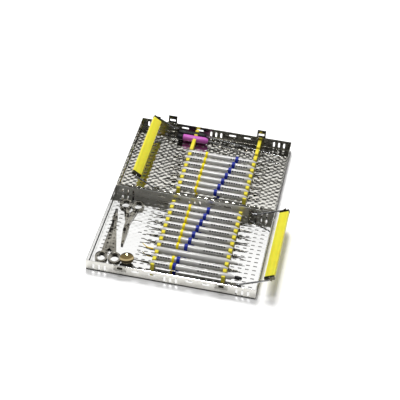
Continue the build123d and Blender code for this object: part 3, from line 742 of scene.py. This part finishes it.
@dataclass
class Tray:
    """One folded sheet tray with its punched floor and walls."""

    shop: Workshop
    node: str
    body: str
    centre_y: float
    finish: Finish
    wall_finish: Finish
    plain: list[tuple[float, float, float, float]]
    large: list[tuple[float, float, float, float]]
    columns: int = 22
    rows: int = 18
    slot: tuple[float, float] = (6.4, 2.7)
    wall_slot: tuple[float, float] = (13.0, 4.2)
    wall_slot_x: tuple[float, ...] = (-58.0, -30.5, 30.5, 58.0)
    wall_slot_z: float = 11.8
    wall_bar: tuple[float, float] = (11.0, 3.6)
    bar_groups: tuple[float, ...] = (-117.5, 0.0, 117.5)
    bar_spacing: float = 9.4
    bar_z: float = 8.2
    side_slot: tuple[float, float] = (15.0, 3.0)
    side_slots: int = 9
    side_spacing: float = 21.0
    side_slot_z: float = 11.5
    rim_radius: float = 0.3

    def floor_cutters(self, mesh: bmesh.types.BMesh) -> None:
        """Adds the floor's slot cutters, leaving the plain fields out.

        Args:
            mesh: the cutters' mesh.
        """
        for column in range(self.columns):
            x = (column - (self.columns - 1) / 2) * SLOT_PITCH[0]
            for row in range(self.rows):
                y = (row - (self.rows - 1) / 2) * SLOT_PITCH[1]
                taken = any(x0 < x < x1 and y0 < y < y1 for x0, x1, y0, y1 in self.plain)
                if not taken:
                    oblong(mesh, self.slot, Matrix.Translation((x, y, SHEET / 2)))
        for x, y, length, width in self.large:
            oblong(mesh, (length, width), Matrix.Translation((x, y, SHEET / 2)))

    def wall_cutters(self, mesh: bmesh.types.BMesh) -> None:
        """Adds the walls' cutters: slots along all four, and groups of upright bars in the long ones.

        Args:
            mesh: the cutters' mesh.
        """
        upright = Matrix.Rotation(QUARTER, 4, "X")
        turn = Matrix.Rotation(QUARTER, 4, "Z")
        for side in (-1, 1):
            y = side * (HALF_DEPTH - SHEET / 2)
            for x in self.wall_slot_x:
                oblong(mesh, self.wall_slot, Matrix.Translation((x, y, self.wall_slot_z)) @ upright)
            for group in self.bar_groups:
                for place in (-1, 0, 1):
                    where = Matrix.Translation((group + self.bar_spacing * place, y, self.bar_z))
                    oblong(mesh, self.wall_bar, where @ upright @ turn)
        for side in (-1, 1):
            x = side * (HALF_WIDTH - SHEET / 2)
            for number in range(self.side_slots):
                place = number - self.side_slots // 2
                where = Matrix.Translation((x, place * self.side_spacing, self.side_slot_z))
                oblong(mesh, self.side_slot, where @ turn @ upright)

    def build(self) -> None:
        """Builds the tray: a box with a folded bend, hollowed, with its rim eased and its slots cut."""
        mesh = bmesh.new()
        verts = block(mesh, (0, 0, TRAY_HEIGHT / 2), (HALF_WIDTH, HALF_DEPTH, TRAY_HEIGHT / 2))
        edges = {e for v in verts for e in v.link_edges}
        low = [e for e in edges if all(v.co.z < 0.1 for v in e.verts)]
        eased(mesh, low, BEND, 4)
        top = [f for f in mesh.faces if f.normal.z > 0.9 and f.calc_center_median().z > TRAY_HEIGHT / 2]
        bmesh.ops.delete(mesh, geom=top, context="FACES")
        bmesh.ops.recalc_face_normals(mesh, faces=mesh.faces)
        bmesh.ops.solidify(mesh, geom=mesh.faces[:], thickness=SHEET)
        bmesh.ops.recalc_face_normals(mesh, faces=mesh.faces)
        rim = [e for e in mesh.edges if all(v.co.z > TRAY_HEIGHT - 0.05 for v in e.verts)]
        eased(mesh, [e for e in rim if e.calc_face_angle(0) > 1], self.rim_radius, 2)
        cutter = bmesh.new()
        self.floor_cutters(cutter)
        self.wall_cutters(cutter)
        mesh = cut(mesh, cutter)
        # The long walls' faces take the second finish; on the lid its darker colour is painted shade.
        for face in mesh.faces:
            if abs(face.normal.y) > 0.8:
                face.material_index = 1
        bmesh.ops.translate(mesh, vec=(0, self.centre_y, 0), verts=mesh.verts)
        self.shop.piece(
            mesh, self.node + "_punched", self.body, [self.finish, self.wall_finish], [self.node],
            recalculate=False, smooth=SHEET_SMOOTH_ANGLE,
        )


# ---- Instruments in the rows ----


@dataclass
class RowInstruments:
    """The double-ended hand instruments of one tray: pocketed grips, steel ends and marking rings."""

    shop: Workshop
    prefix: str
    body: str
    rows: list[float]
    ringed: list[float]
    blue_start: float
    blue_step: float
    around: int = 20
    pocket_pitch: float = 4.4
    pocket_length: float = 2.9
    fields: tuple[tuple[float, int], ...] = ((-31.0, 5), (38.8, 8))

    def grip_profile(self, stretch: float) -> list[tuple[float, float]]:
        """The grip's outline along X: noses, and stations for two fields of pockets.

        Args:
            stretch: how much longer than the others the grip is.

        Returns:
            The outline.
        """
        left = GRIP_LEFT - NOSE_LENGTH
        right = GRIP_RIGHT + stretch + NOSE_LENGTH
        outline = [(left, 0.0), (left, NOSE_RADIUS - 0.25), (left + 0.3, NOSE_RADIUS), (left + 4.2, 3.5)]
        outline += [(GRIP_LEFT - 0.6, 4.55), (GRIP_LEFT + 1.0, GRIP_RADIUS)]
        for start, number in self.fields:
            for place in range(number):
                x = start + place * self.pocket_pitch
                outline += [(x, GRIP_RADIUS), (x + self.pocket_length, GRIP_RADIUS)]
        body = GRIP_RIGHT + stretch
        outline += [(body - 1.0, GRIP_RADIUS), (body + 0.6, 4.55), (right - 4.2, 3.5)]
        outline += [(right - 0.3, NOSE_RADIUS), (right, NOSE_RADIUS - 0.25), (right, 0.0)]
        return outline

    def pocketed(self, faces: list) -> list:
        """Picks the faces of a grip that become pockets: pairs of faces in four rows round the grip.

        Args:
            faces: the grip's faces.

        Returns:
            The pockets' faces.
        """
        chosen = []
        quarter = self.around // 4
        for face in faces:
            centre = face.calc_center_median()
            step = round(math.atan2(-centre.y, centre.z) / math.tau * self.around - 0.5) % self.around
            for start, number in self.fields:
                place = (centre.x - start - self.pocket_length / 2) / self.pocket_pitch
                inside = abs(place - round(place)) < 0.05 and -0.5 < place < number - 0.5
                if inside and step % quarter in (2, 3):
                    chosen.append(face)
        return chosen

    def one_grip(self, stretch: float) -> bmesh.types.BMesh:
        """Makes one grip on the X axis, in millimetres.

        Args:
            stretch: how much longer than the others it is.

        Returns:
            The grip's mesh.
        """
        mesh = bmesh.new()
        turned(mesh, self.grip_profile(stretch), (0, 0, 0), Turn.X, self.around)
        bmesh.ops.recalc_face_normals(mesh, faces=mesh.faces)
        pockets = self.pocketed(mesh.faces[:])
        bmesh.ops.inset_region(mesh, faces=pockets, thickness=0.2, depth=-0.8, use_even_offset=True)
        # The pockets' bottoms take the second material, painted shade.
        for face in pockets:
            face.material_index = 1
        return mesh

    def spread(self, mesh: bmesh.types.BMesh, places: list[tuple[float, float, float]]) -> None:
        """Copies a mesh to each place and drops the first.

        Args:
            mesh: the mesh.
            places: how far each copy is moved.
        """
        first = mesh.verts[:] + mesh.edges[:] + mesh.faces[:]
        for place in places:
            copy = bmesh.ops.duplicate(mesh, geom=first)
            bmesh.ops.translate(mesh, vec=place, verts=vertices(copy["geom"]))
        bmesh.ops.delete(mesh, geom=vertices(first), context="VERTS")

    def grips(self, name: str, rows: list[float], node: str, stretch: float = 0.0) -> None:
        """Builds the grips of some rows as one piece.

        Args:
            name: the piece's name.
            rows: the rows.
            node: the node it stands for.
            stretch: how much longer than the others they are.
        """
        mesh = self.one_grip(stretch)
        self.spread(mesh, [(0, y, INSTRUMENT_Z) for y in rows])
        self.shop.piece(mesh, name, self.body, [GRIP_RESIN, POCKET_PAINTED_SHADE], [node])

    def thick_grip(self, y: float) -> None:
        """Builds the thick plain grip with its long taper, and its plastic probe.

        Args:
            y: the row it lies in.
        """
        left = GRIP_LEFT - NOSE_LENGTH
        full = THICK_RADIUS
        outline = [(left, 0.0), (left, 1.6), (left + 0.3, 1.9), (left + 4.2, 3.9), (GRIP_LEFT - 0.5, 5.2)]
        outline += [(GRIP_LEFT + 1.2, full), (0.0, full), (GRIP_RIGHT - 1.0, full), (GRIP_RIGHT + 1.5, 5.05)]
        outline += [(GRIP_RIGHT + 12.0, 2.9), (GRIP_RIGHT + 20.5, 1.35), (GRIP_RIGHT + 21.8, 1.0)]
        outline += [(GRIP_RIGHT + 21.98, 0.0)]
        centre = (0, y, INSTRUMENT_Z)
        self.shop.turned_piece(
            "thick_grip_turned", self.body, GRIP_RESIN, "thick_handle", outline, centre, 28
        )
        stations = [(-0.3, 0.0, 1.25), (-4.0, 0.0, 1.2), (-9.0, 0.06, 1.0), (-12.5, 0.22, 0.8)]
        stations += [(-16.5, 0.6, 0.6), (-19.6, 0.92, 0.5), (-20.8, 1.0, 0.3)]
        path = [(left + x, y + PROBE_SWING * share, INSTRUMENT_Z) for x, share, _ in stations]
        radii = [r for _, _, r in stations]
        self.shop.drawn_piece("thick_probe_moulded", self.body, PROBE_PLASTIC, "thick_probe", path, radii, 10)

    def mirror_foot(self, y: float) -> None:
        """Builds the black foot on the mirror grip's right end.

        Args:
            y: the row it lies in.
        """
        start = GRIP_RIGHT + MIRROR_GRIP_STRETCH + NOSE_LENGTH
        outline = [(start, 0.0), (start, 2.7), (start + 0.4, 2.98), (start + 5.0, 2.98), (start + 7.0, 2.85)]
        outline += [(start + 11.2, 2.3), (start + 11.9, 1.7), (start + 12.0, 0.0)]
        centre = (0, y, INSTRUMENT_Z)
        self.shop.turned_piece(
            "mirror_foot_turned", self.body, BLACK_PLASTIC, "mirror_handle_tip", outline, centre, 20
        )

    def rings(
        self,
        name: str,
        finish: Finish,
        places: list[tuple[float, float, float]],
        node: str,
        half: float,
        wall: float,
    ) -> None:
        """Builds marking rings as one piece: a soft band with rounded shoulders.

        Args:
            name: the piece's name.
            finish: its finish.
            places: the middle of each ring.
            node: the node it stands for.
            half: half the ring's width.
            wall: the ring's wall.
        """
        mesh = bmesh.new()
        inner = GRIP_RADIUS + RING_CLEARANCE
        shoulder = inner + wall * 0.55
        crown = inner + wall * 0.94
        outline = [(-half, inner), (-half + 0.1, shoulder), (-half + 0.55, crown), (0, inner + wall)]
        outline += [(half - 0.55, crown), (half - 0.1, shoulder), (half, inner), (-half, inner)]
        turned(mesh, outline, (0, 0, 0), Turn.X, 20)
        self.spread(mesh, places)
        self.shop.piece(mesh, name, self.body, [finish], [node])

    def ends(self, ended: list[float], node: str) -> None:
        """Builds the steel working ends: a shank, a double bend and a fine sickle point.

        Args:
            ended: the rows whose instruments have them.
            node: the node they stand for.
        """
        mesh = bmesh.new()
        stations = [(-0.4, 0.0, 0.0, 1.25), (3.0, 0.0, 0.0, 1.2), (9.0, 0.03, 0.0, 1.0)]
        stations += [(13.5, 0.15, 0.0, 0.85), (17.0, 0.5, 0.1, 0.72), (20.5, 0.95, 0.2, 0.58)]
        stations += [(22.6, 1.0, -0.1, 0.42), (23.8, 0.9, -0.5, 0.2)]
        collar = [(-0.2, 0.0), (-0.2, 1.75), (0.5, 1.85), (1.4, 1.6), (1.4, 0.0)]
        for number, y in enumerate(self.rows, 1):
            if y not in ended:
                continue
            for stop in Stop:
                side = stop.value
                turn = number % 3 - 1 if stop is Stop.RIGHT else number % 2 * 2 - 1
                root = GRIP_RIGHT + NOSE_LENGTH if stop is Stop.RIGHT else GRIP_LEFT - NOSE_LENGTH
                path = []
                for reach, share, up, _ in stations:
                    path.append((root + side * reach, y + turn * TIP_SWING * share, INSTRUMENT_Z + up))
                drawn(mesh, path, [r for _, _, _, r in stations], 10)
                turned(mesh, [(side * a, r) for a, r in collar], (root, y, INSTRUMENT_Z), Turn.X, 14)
        self.shop.piece(mesh, self.prefix + "_working_ends", self.body, [FORGED_STEEL_PAINTED_REFLECTIONS], [node])

    def build_rings(self) -> None:
        """Builds the yellow and blue marking rings."""
        yellow = [(YELLOW_RING_X, y, INSTRUMENT_Z) for y in self.ringed]
        node = self.prefix + "_yellow_rings"
        self.rings(self.prefix + "_ring_set_yellow", RING_YELLOW, yellow, node, half=2.3, wall=1.1)
        blue = []
        for index, y in enumerate(self.rows):
            if y in self.ringed:
                blue.append((self.blue_start + self.blue_step * index, y, INSTRUMENT_Z))
        node = self.prefix + "_blue_rings"
        self.rings(self.prefix + "_ring_set_blue", RING_BLUE, blue, node, half=3.0, wall=1.35)


# ---- Hold-down bars ----


@dataclass
class HoldDownBar:
    """A bent wire frame with a silicone sleeve and two end caps, swung out."""

    shop: Workshop
    body: str
    pivot_x: float
    sleeve: tuple[float, float]
    front: float
    back: float
    stub: float = 4.6
    wire_radius: float = 1.46
    wire_bend: float = 2.5
    sleeve_half: tuple[float, float, float] = (8.5, 83.0, 3.0)
    rib_half: tuple[float, float, float] = (0.9, 82.4, 0.24)
    rib_x: float = 4.4
    rib_z: float = 2.75
    cap_half: tuple[float, float, float] = (8.75, 2.45, 3.25)
    cap_y: float = 85.5
    ear_radius: float = 6.2
    ear_sheet: float = 1.0
    ear_y: float = 88.4
    ear_z: float = 0.6

    @property
    def out(self) -> int:
        """The side of the pivot that the sleeve rests on, 1 for the right."""
        return 1 if self.sleeve[0] > self.pivot_x else -1

    def swing(self) -> float:
        """Works out how far the bar swings from where it rests to where it is folded in.

        Returns:
            The angle in radians.
        """
        reach = math.hypot(self.sleeve[0] - self.pivot_x, self.sleeve[1] - PIVOT_Z)
        lift = math.asin((FOLDED_Z - PIVOT_Z) / reach)
        rise = math.atan2(self.sleeve[1] - PIVOT_Z, abs(self.sleeve[0] - self.pivot_x))
        return math.pi - lift - rise

    def build(self) -> None:
        """Builds the wire, the sleeve and the caps."""
        swing = self.swing()
        kink_x = self.pivot_x + self.out * (KINK_RISE * math.sin(swing) - KINK_RUN * math.cos(swing))
        kink_z = PIVOT_Z + KINK_RUN * math.sin(swing) + KINK_RISE * math.cos(swing)
        corners = [
            (self.pivot_x, self.front - self.stub, PIVOT_Z),
            (self.pivot_x, self.front, PIVOT_Z),
            (kink_x, self.front, kink_z),
            (self.sleeve[0], self.front, self.sleeve[1]),
            (self.sleeve[0], self.back, self.sleeve[1]),
            (kink_x, self.back, kink_z),
            (self.pivot_x, self.back, PIVOT_Z),
            (self.pivot_x, self.back + self.stub, PIVOT_Z),
        ]
        path = rounded_path(corners, self.wire_bend, 6)
        radii = [self.wire_radius] * len(path)
        self.shop.drawn_piece(
            self.body + "_bent_wire", self.body, WIRE_STEEL, self.body + "_wire", path, radii, 14
        )
        self.sleeve_piece()
        self.cap_pieces()

    def placed(self, mesh: bmesh.types.BMesh) -> None:
        """Turns a mesh made on the origin by the bar's tilt and moves it onto the wire.

        Args:
            mesh: the mesh.
        """
        turn = Matrix.Rotation(-self.out * (math.pi - self.swing()), 4, "Y")
        move = Matrix.Translation((self.sleeve[0], (self.front + self.back) / 2, self.sleeve[1]))
        bmesh.ops.transform(mesh, matrix=move @ turn, verts=mesh.verts)

    def sleeve_piece(self) -> None:
        """Builds the silicone sleeve: a flat bar with soft edges and two shallow press ribs on each face."""
        mesh = bmesh.new()
        block(mesh, (0, 0, 0), self.sleeve_half, 1.3, 4)
        for height in (self.rib_z, -self.rib_z):
            for x in (-self.rib_x, self.rib_x):
                block(mesh, (x, 0, height), self.rib_half, 0.2, 2)
        self.placed(mesh)
        name = self.body + "_silicone_bar"
        self.shop.piece(mesh, name, self.body, [SLEEVE_SILICONE], [self.body + "_sleeve"])

    def cap_pieces(self) -> None:
        """Builds the two end caps: pressed boxes with a folded ear on the outer face."""
        mesh = bmesh.new()
        for side in (-1, 1):
            block(mesh, (0, side * self.cap_y, 0), self.cap_half, 0.7, 3)
            ear = bmesh.ops.create_circle(mesh, cap_ends=True, radius=self.ear_radius, segments=3)["verts"]
            sheet = bmesh.ops.extrude_face_region(mesh, geom=list({f for v in ear for f in v.link_faces}))
            top = vertices(sheet["geom"])
            bmesh.ops.translate(mesh, vec=(0, 0, self.ear_sheet), verts=top)
            place = Matrix.Translation((0.0, side * self.ear_y + self.ear_sheet / 2, self.ear_z))
            turn = Matrix.Rotation(QUARTER, 4, "X") @ Matrix.Rotation(QUARTER, 4, "Z")
            bmesh.ops.transform(mesh, matrix=place @ turn, verts=ear + top)
        self.placed(mesh)
        self.shop.piece(mesh, self.body + "_end_caps", self.body, [CAP_STEEL], [self.body + "_caps"])


# ---- The mirror ----


@dataclass
class DentalMirror:
    """The round mirror head on its neck, in the front row."""

    shop: Workshop
    centre: tuple[float, float, float] = (-79.0, base_row(BASE_ROWS), 9.5)
    tilt: float = 9.0
    radius: float = 12.0
    thickness: float = 2.2

    def build(self) -> None:
        """Builds the rimmed head with its glass, and the neck."""
        mesh = bmesh.new()
        half = self.thickness / 2
        rim = self.radius
        outline = [(-half, 0.0), (-half, rim - 0.9), (-half + 0.35, rim - 0.2), (0.1, rim)]
        outline += [(half - 0.1, rim - 0.25), (half, rim - 0.6), (half - 0.3, rim - 1.0), (half - 0.3, 0.0)]
        turned(mesh, outline, (0, 0, 0), Turn.Z, 48)
        bmesh.ops.recalc_face_normals(mesh, faces=mesh.faces)
        # The upper face inside the rim is the glass.
        for face in mesh.faces:
            if face.normal.z > 0.9 and face.calc_center_median().z > 0:
                face.material_index = 1
        turn = Matrix.Translation(self.centre) @ Matrix.Rotation(math.radians(self.tilt), 4, "X")
        bmesh.ops.transform(mesh, matrix=turn, verts=mesh.verts)
        finishes = [FORGED_STEEL_PAINTED_REFLECTIONS, MIRROR_GLASS]
        head = self.shop.piece(mesh, "mirror_head_rimmed", "base", finishes, ["mirror_head"])
        x, y, z = self.centre
        grip = GRIP_LEFT - NOSE_LENGTH
        path = [(grip + 0.4, y, INSTRUMENT_Z), (grip - 6.0, y, 9.95), (grip - 14.0, y, 9.8)]
        path += [(grip - 22.0, y, 9.65), (x + self.radius - 1.0, y, z)]
        radii = [1.2, 1.15, 1.0, 0.9, 0.9]
        self.shop.drawn_piece("mirror_neck_drawn", "base", FORGED_STEEL_PAINTED_REFLECTIONS, "mirror_neck", path, radii, 12)


# ---- The long tools at the back wall ----


@dataclass
class LongTools:
    """The pink-handled and black-handled tools with their steel shafts."""

    shop: Workshop
    pink_y: float = BACK_WALL - 26.2
    black_y: float = BACK_WALL - 12.9
    height: float = 9.3
    pink_end: float = -11.0
    black_end: float = -16.0
    pink_slant: float = 34.0
    black_slant: float = 22.3
    cap_start: float = -67.5
    black_start: float = -68.0
    groove_start: float = -63.5
    groove_pitch: float = 3.6
    grooves: int = 11

    def build(self) -> None:
        """Builds the two grips, the pink tool's cap and both shafts."""
        pink = (0, self.pink_y, self.height)
        outline = [(-57.0, 0.0), (-57.0, 5.7), (-56.4, 6.05), (-52, 6.1), (-40, 6.0), (-28, 6.1)]
        outline += [(-16.5, 5.95), (-14.2, 5.2), (-12.0, 4.0), (self.pink_end, 3.4), (self.pink_end, 0.0)]
        self.shop.turned_piece("pink_grip_turned", "lid", PINK_RESIN, "pink_tool_grip", outline, pink, 28)
        start = self.cap_start
        outline = [(start, 0.0), (start, 4.2), (start + 0.6, 5.2), (start + 1.7, 5.5), (-62.4, 5.5)]
        outline += [(-62.0, 5.1), (-61.6, 5.5), (-57.4, 5.5), (-57.1, 5.3), (-57.1, 0.0)]
        self.shop.turned_piece(
            "pink_tool_cap_turned", "lid", BLACK_PLASTIC, "pink_tool_cap", outline, pink, 28
        )
        start = self.black_start
        outline = [(start, 0.0), (start, 3.8), (start + 0.6, 4.7), (start + 2.0, 5.0)]
        for place in range(self.grooves):
            x = self.groove_start + place * self.groove_pitch
            outline += [(x, 5.0), (x + 0.4, 4.5), (x + 1.0, 4.5), (x + 1.4, 5.0)]
        outline += [(-21.0, 5.0), (-18.0, 4.1), (self.black_end, 2.4), (self.black_end, 0.0)]
        black = (0, self.black_y, self.height)
        self.shop.turned_piece(
            "black_grip_turned", "lid", BLACK_PLASTIC, "black_tool_grip", outline, black, 24
        )
        for node, left, y, slant in (
            ("pink_tool_shaft", self.pink_end, self.pink_y, self.pink_slant),
            ("black_tool_shaft", self.black_end, self.black_y, self.black_slant),
        ):
            self.shaft(node, (left, y), (SHAFT_END_X, y - slant))

    def shaft(self, node: str, start: tuple[float, float], end: tuple[float, float]) -> None:
        """Builds a shaft that tapers to a fine point.

        Args:
            node: the node it stands for.
            start: where it leaves the grip.
            end: its point.
        """
        stations = [(0.0, 1.38), (0.05, 1.35), (0.5, 1.05), (0.85, 0.75), (0.97, 0.6), (1.0, 0.35)]
        path = []
        for share, _ in stations:
            x = start[0] + (end[0] - start[0]) * share
            y = start[1] + (end[1] - start[1]) * share
            path.append((x, y, self.height))
        self.shop.drawn_piece(node + "_drawn", "lid", WIRE_STEEL, node, path, [r for _, r in stations], 12)


# ---- Fittings that keep their solids' shape, with eased edges ----


@dataclass
class Fittings:
    """Hinges, latches, catches, brackets, channels, combs and the ring-handled instruments."""

    shop: Workshop

    def build(self) -> None:
        """Dresses each fitting."""
        for side in ("left", "right"):
            for node, body, finish, edge in (
                ("base_channel_", "base", FITTING_STEEL, 0.2),
                ("lid_channel_", "lid", FITTING_STEEL, 0.2),
                ("base_comb_", "base", COMB_SILICONE, 0.35),
                ("lid_comb_", "lid", COMB_SILICONE, 0.35),
                ("catch_", "base", FITTING_STEEL, 0.2),
                ("latch_bracket_", "lid", FITTING_STEEL, 0.2),
                ("latch_", "latch_" + side, FORGED_STEEL_PAINTED_REFLECTIONS, 0.2),
            ):
                self.shop.dress(node + side, body, finish, edge)
        for node, body, finish, edge in (
            ("catch_rivets", "base", FITTING_STEEL, 0.2),
            ("latch_pins", "lid", FITTING_STEEL, 0.15),
            ("base_hinge_leaves", "base", FITTING_STEEL, 0.2),
            ("lid_hinge_leaves", "lid", FITTING_STEEL, 0.2),
            ("hinge_pins", "hinge_pins", FORGED_STEEL_PAINTED_REFLECTIONS, 0.15),
            ("base_bar_brackets", "base", FITTING_STEEL, 0.25),
            ("lid_bar_brackets", "lid", FITTING_STEEL, 0.25),
        ):
            self.shop.dress(node, body, finish, edge)
        for tool in ("needle_holder", "scissors"):
            self.shop.dress(tool + "_fixed_half", "base", FORGED_STEEL_PAINTED_REFLECTIONS, 1.7, 5)
            self.shop.dress(tool + "_moving_half", tool + "_half", FORGED_STEEL_PAINTED_REFLECTIONS, 1.7, 5)
            self.shop.dress(tool + "_screw", "base", FORGED_STEEL_PAINTED_REFLECTIONS, 0.2)


# ---- Floor, light and camera ----


@dataclass(frozen=True)
class Lamp:
    """A square soft lamp that is aimed at the trays, in metres and watts."""

    name: str
    at: tuple[float, float, float]
    size: float
    power: float
    mirrored: bool


LAMPS = (
    Lamp("key_softbox", at=(-0.5, 1.5, 2.2), size=0.95, power=70.0, mirrored=False),
    Lamp("top_softbox", at=(-0.25, 0.1, 2.6), size=0.35, power=16.0, mirrored=True),
    Lamp("front_softbox", at=(0.3, -1.6, 2.2), size=1.6, power=8.0, mirrored=False),
)


@dataclass
class Studio:
    """The pale floor, the soft lamps, the surroundings and the camera, in metres.

    The surroundings are a dim fill for dull surfaces. What polished metal mirrors is dark below the horizon
    and bright above it, dimmer in front than behind, and grey from the ceiling up. The pairs are where a
    direction's height or depth begins and ends a change, and the light at each.
    """

    camera_at: tuple[float, float, float] = (0.251816, -1.625327, 1.420454)
    camera_right: tuple[float, float, float] = (0.97911461, 0.19360236, 0.06207015)
    camera_up: tuple[float, float, float] = (-0.16978853, 0.61071118, 0.7734363)
    camera_ahead: tuple[float, float, float] = (-0.11183216, 0.76782158, -0.6308277)
    lens: float = 117.154
    shift: tuple[float, float] = (0.013667, 0.014754)
    aim: tuple[float, float, float] = (0.0, 0.1, 0.0)
    floor_drop: float = 0.0004
    contact_reach: float = 0.0022
    fill: float = 0.28
    horizon: tuple[float, float] = (0.59, 0.645)
    horizon_light: tuple[float, float] = (0.06, 1.2)
    depth: tuple[float, float] = (-0.25, 0.25)
    depth_light: tuple[float, float] = (0.1, 1.0)
    ceiling: tuple[float, float] = (0.74, 0.8)
    zenith: tuple[float, float] = (0.9, 0.96)

    def floor(self) -> None:
        """Builds the floor: white paper that takes the shadow, with painted contact shade that darkens its
        colour where something stands on it.
        """
        mesh = bmesh.new()
        bmesh.ops.create_grid(mesh, x_segments=1, y_segments=1, size=3.0)
        data = meshed("studio_floor", mesh)
        material = bpy.data.materials.new("white_paper_floor")
        tree = emptied(material)
        whole = add(tree, "ShaderNodeTexCoord").outputs["Object"]
        fibre = add(tree, "ShaderNodeTexNoise", {"Vector": whole, "Scale": 60.0, "Detail": 4.0})
        grain = {"Height": fibre.outputs["Fac"], "Strength": 0.05, "Distance": 0.5 * MM}
        bump = add(tree, "ShaderNodeBump", grain)
        # Painted contact shade: ambient occlusion within the contact reach darkens the paper's colour towards
        # near-black.
        openness = add(tree, "ShaderNodeAmbientOcclusion", {"Distance": self.contact_reach}, samples=12)
        shade = {"Value": openness.outputs["AO"], "From Min": 0.5, "From Max": 0.9, "To Min": 0.02}
        paper = add(tree, "ShaderNodeMapRange", shade).outputs[0]
        tone = add(tree, "ShaderNodeCombineColor", {0: paper, 1: paper, 2: paper}).outputs[0]
        looks = {"Base Color": tone, "Roughness": 0.9, "Normal": bump.outputs["Normal"], "IOR": 1.1}
        shader = add(tree, "ShaderNodeBsdfPrincipled", looks)
        add(tree, "ShaderNodeOutputMaterial", {"Surface": shader.outputs[0]})
        data.materials.append(material)
        thing = linked("studio_floor", data)
        thing.location.z = -self.floor_drop

    def lamps(self) -> None:
        """Adds a key lamp behind, one overhead for the sheen on the grips, and a weak one in front."""
        for lamp in LAMPS:
            light = bpy.data.lights.new(lamp.name, "AREA")
            light.shape = "SQUARE"
            light.size = lamp.size
            light.energy = lamp.power
            thing = linked(lamp.name, light)
            thing.location = lamp.at
            thing.visible_glossy = lamp.mirrored
            toward = Vector(self.aim) - Vector(lamp.at)
            thing.rotation_euler = toward.to_track_quat("-Z", "Y").to_euler()

    def surroundings(self) -> None:
        """Sets the world: white to the camera, a dim fill to dull surfaces, and a room to polished metal."""
        world = bpy.data.worlds.new("studio")
        bpy.context.scene.world = world
        tree = emptied(world)
        rays = add(tree, "ShaderNodeLightPath").outputs
        direction = add(tree, "ShaderNodeTexCoord").outputs["Generated"]
        split = add(tree, "ShaderNodeSeparateXYZ", {"Vector": direction}).outputs
        shares = []
        for axis, (low, high), (first, last) in (
            ("Z", self.horizon, self.horizon_light),
            ("Y", self.depth, self.depth_light),
            ("Z", self.ceiling, (0.0, 1.0)),
            ("Z", self.zenith, (0.0, 1.0)),
        ):
            span = {"Value": split[axis], "From Min": low, "From Max": high, "To Min": first, "To Max": last}
            shares.append(add(tree, "ShaderNodeMapRange", span).outputs[0])
        height, depth, ceiling, zenith = shares
        glossy = rays["Is Glossy Ray"]
        room = add(tree, "ShaderNodeMath", {0: depth, 1: height}, operation="MULTIPLY").outputs[0]
        mirrored = add(tree, "ShaderNodeMath", {0: glossy, 1: room}, operation="MULTIPLY").outputs[0]
        shown = add(tree, "ShaderNodeMath", {0: rays["Is Camera Ray"], 1: mirrored}, operation="ADD")
        light = {0: rays["Is Diffuse Ray"], 1: self.fill, 2: shown.outputs[0]}
        strength = add(tree, "ShaderNodeMath", light, operation="MULTIPLY_ADD").outputs[0]
        greys = {"Factor": zenith, 6: linear("A09A88"), 7: linear("9A9A96")}
        above = add(tree, "ShaderNodeMix", greys, data_type="RGBA").outputs[2]
        overhead = add(tree, "ShaderNodeMath", {0: ceiling, 1: glossy}, operation="MULTIPLY").outputs[0]
        tints = {"Factor": overhead, 6: linear("FFFFFF"), 7: above}
        colour = add(tree, "ShaderNodeMix", tints, data_type="RGBA").outputs[2]
        ground = add(tree, "ShaderNodeBackground", {"Color": colour, "Strength": strength})
        add(tree, "ShaderNodeOutputWorld", {"Surface": ground.outputs[0]})

    def camera(self) -> None:
        """Places the camera at the viewing angle."""
        data = bpy.data.cameras.new("view")
        data.lens = self.lens
        data.sensor_width = 36.0
        data.shift_x, data.shift_y = self.shift
        data.clip_end = 20.0
        thing = linked("view", data)
        matrix = Matrix.Identity(4)
        for row in range(3):
            matrix[row][0] = self.camera_right[row]
            matrix[row][1] = self.camera_up[row]
            matrix[row][2] = -self.camera_ahead[row]
            matrix[row][3] = self.camera_at[row]
        thing.matrix_world = matrix
        bpy.context.scene.camera = thing

    def build(self) -> None:
        """Builds the studio and sets how colours are shown."""
        self.camera()
        self.floor()
        self.lamps()
        self.surroundings()
        bpy.context.scene.view_settings.view_transform = "Standard"


def main() -> None:
    """Builds the looks in order and logs each piece."""
    logging.basicConfig(level=logging.INFO, format="%(message)s")
    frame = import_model()
    shop = Workshop(frame)
    Studio().build()
    Tray(shop, "base_tray", "base", 0.0, SHEET_STEEL, SATIN_WALL, PLAIN_FIELDS, LARGE_HOLES).build()
    Tray(shop, "lid_tray", "lid", LID_CENTRE, LID_STEEL, WALL_STEEL_PAINTED_SHADE, [], []).build()
    rows = [base_row(n) for n in range(1, BASE_ROWS + 1)]
    ringed = [y for n, y in enumerate(rows, 1) if n != THICK_ROW]
    base = RowInstruments(shop, "base", "base", rows, ringed, blue_start=27.4, blue_step=-3.0)
    plain = [y for n, y in enumerate(rows, 1) if n not in (THICK_ROW, BASE_ROWS)]
    base.grips("base_grips_pocketed", plain, "base_handles")
    base.thick_grip(rows[THICK_ROW - 1])
    base.grips("mirror_grip_pocketed", [rows[-1]], "mirror_handle", MIRROR_GRIP_STRETCH)
    base.mirror_foot(rows[-1])
    base.ends(plain, "base_tips")
    base.build_rings()
    lid_rows = [lid_row(n) for n in range(1, LID_ROWS + 1)]
    lid = RowInstruments(shop, "lid", "lid", lid_rows, lid_rows, blue_start=30.0, blue_step=3.4)
    lid.grips("lid_grips_pocketed", lid_rows, "lid_handles")
    lid.ends(lid_rows, "lid_tips")
    lid.build_rings()
    DentalMirror(shop).build()
    LongTools(shop).build()
    HoldDownBar(shop, "base_bar", pivot_x=100.0, sleeve=(156.7, 31.8), front=-86.8, back=95.0).build()
    HoldDownBar(shop, "lid_bar", pivot_x=-70.0, sleeve=(-109.5, 30.0), front=120.4, back=302.2).build()
    Fittings(shop).build()
    LOG.info("%d pieces", shop.count)


if __name__ == "__main__":
    main()
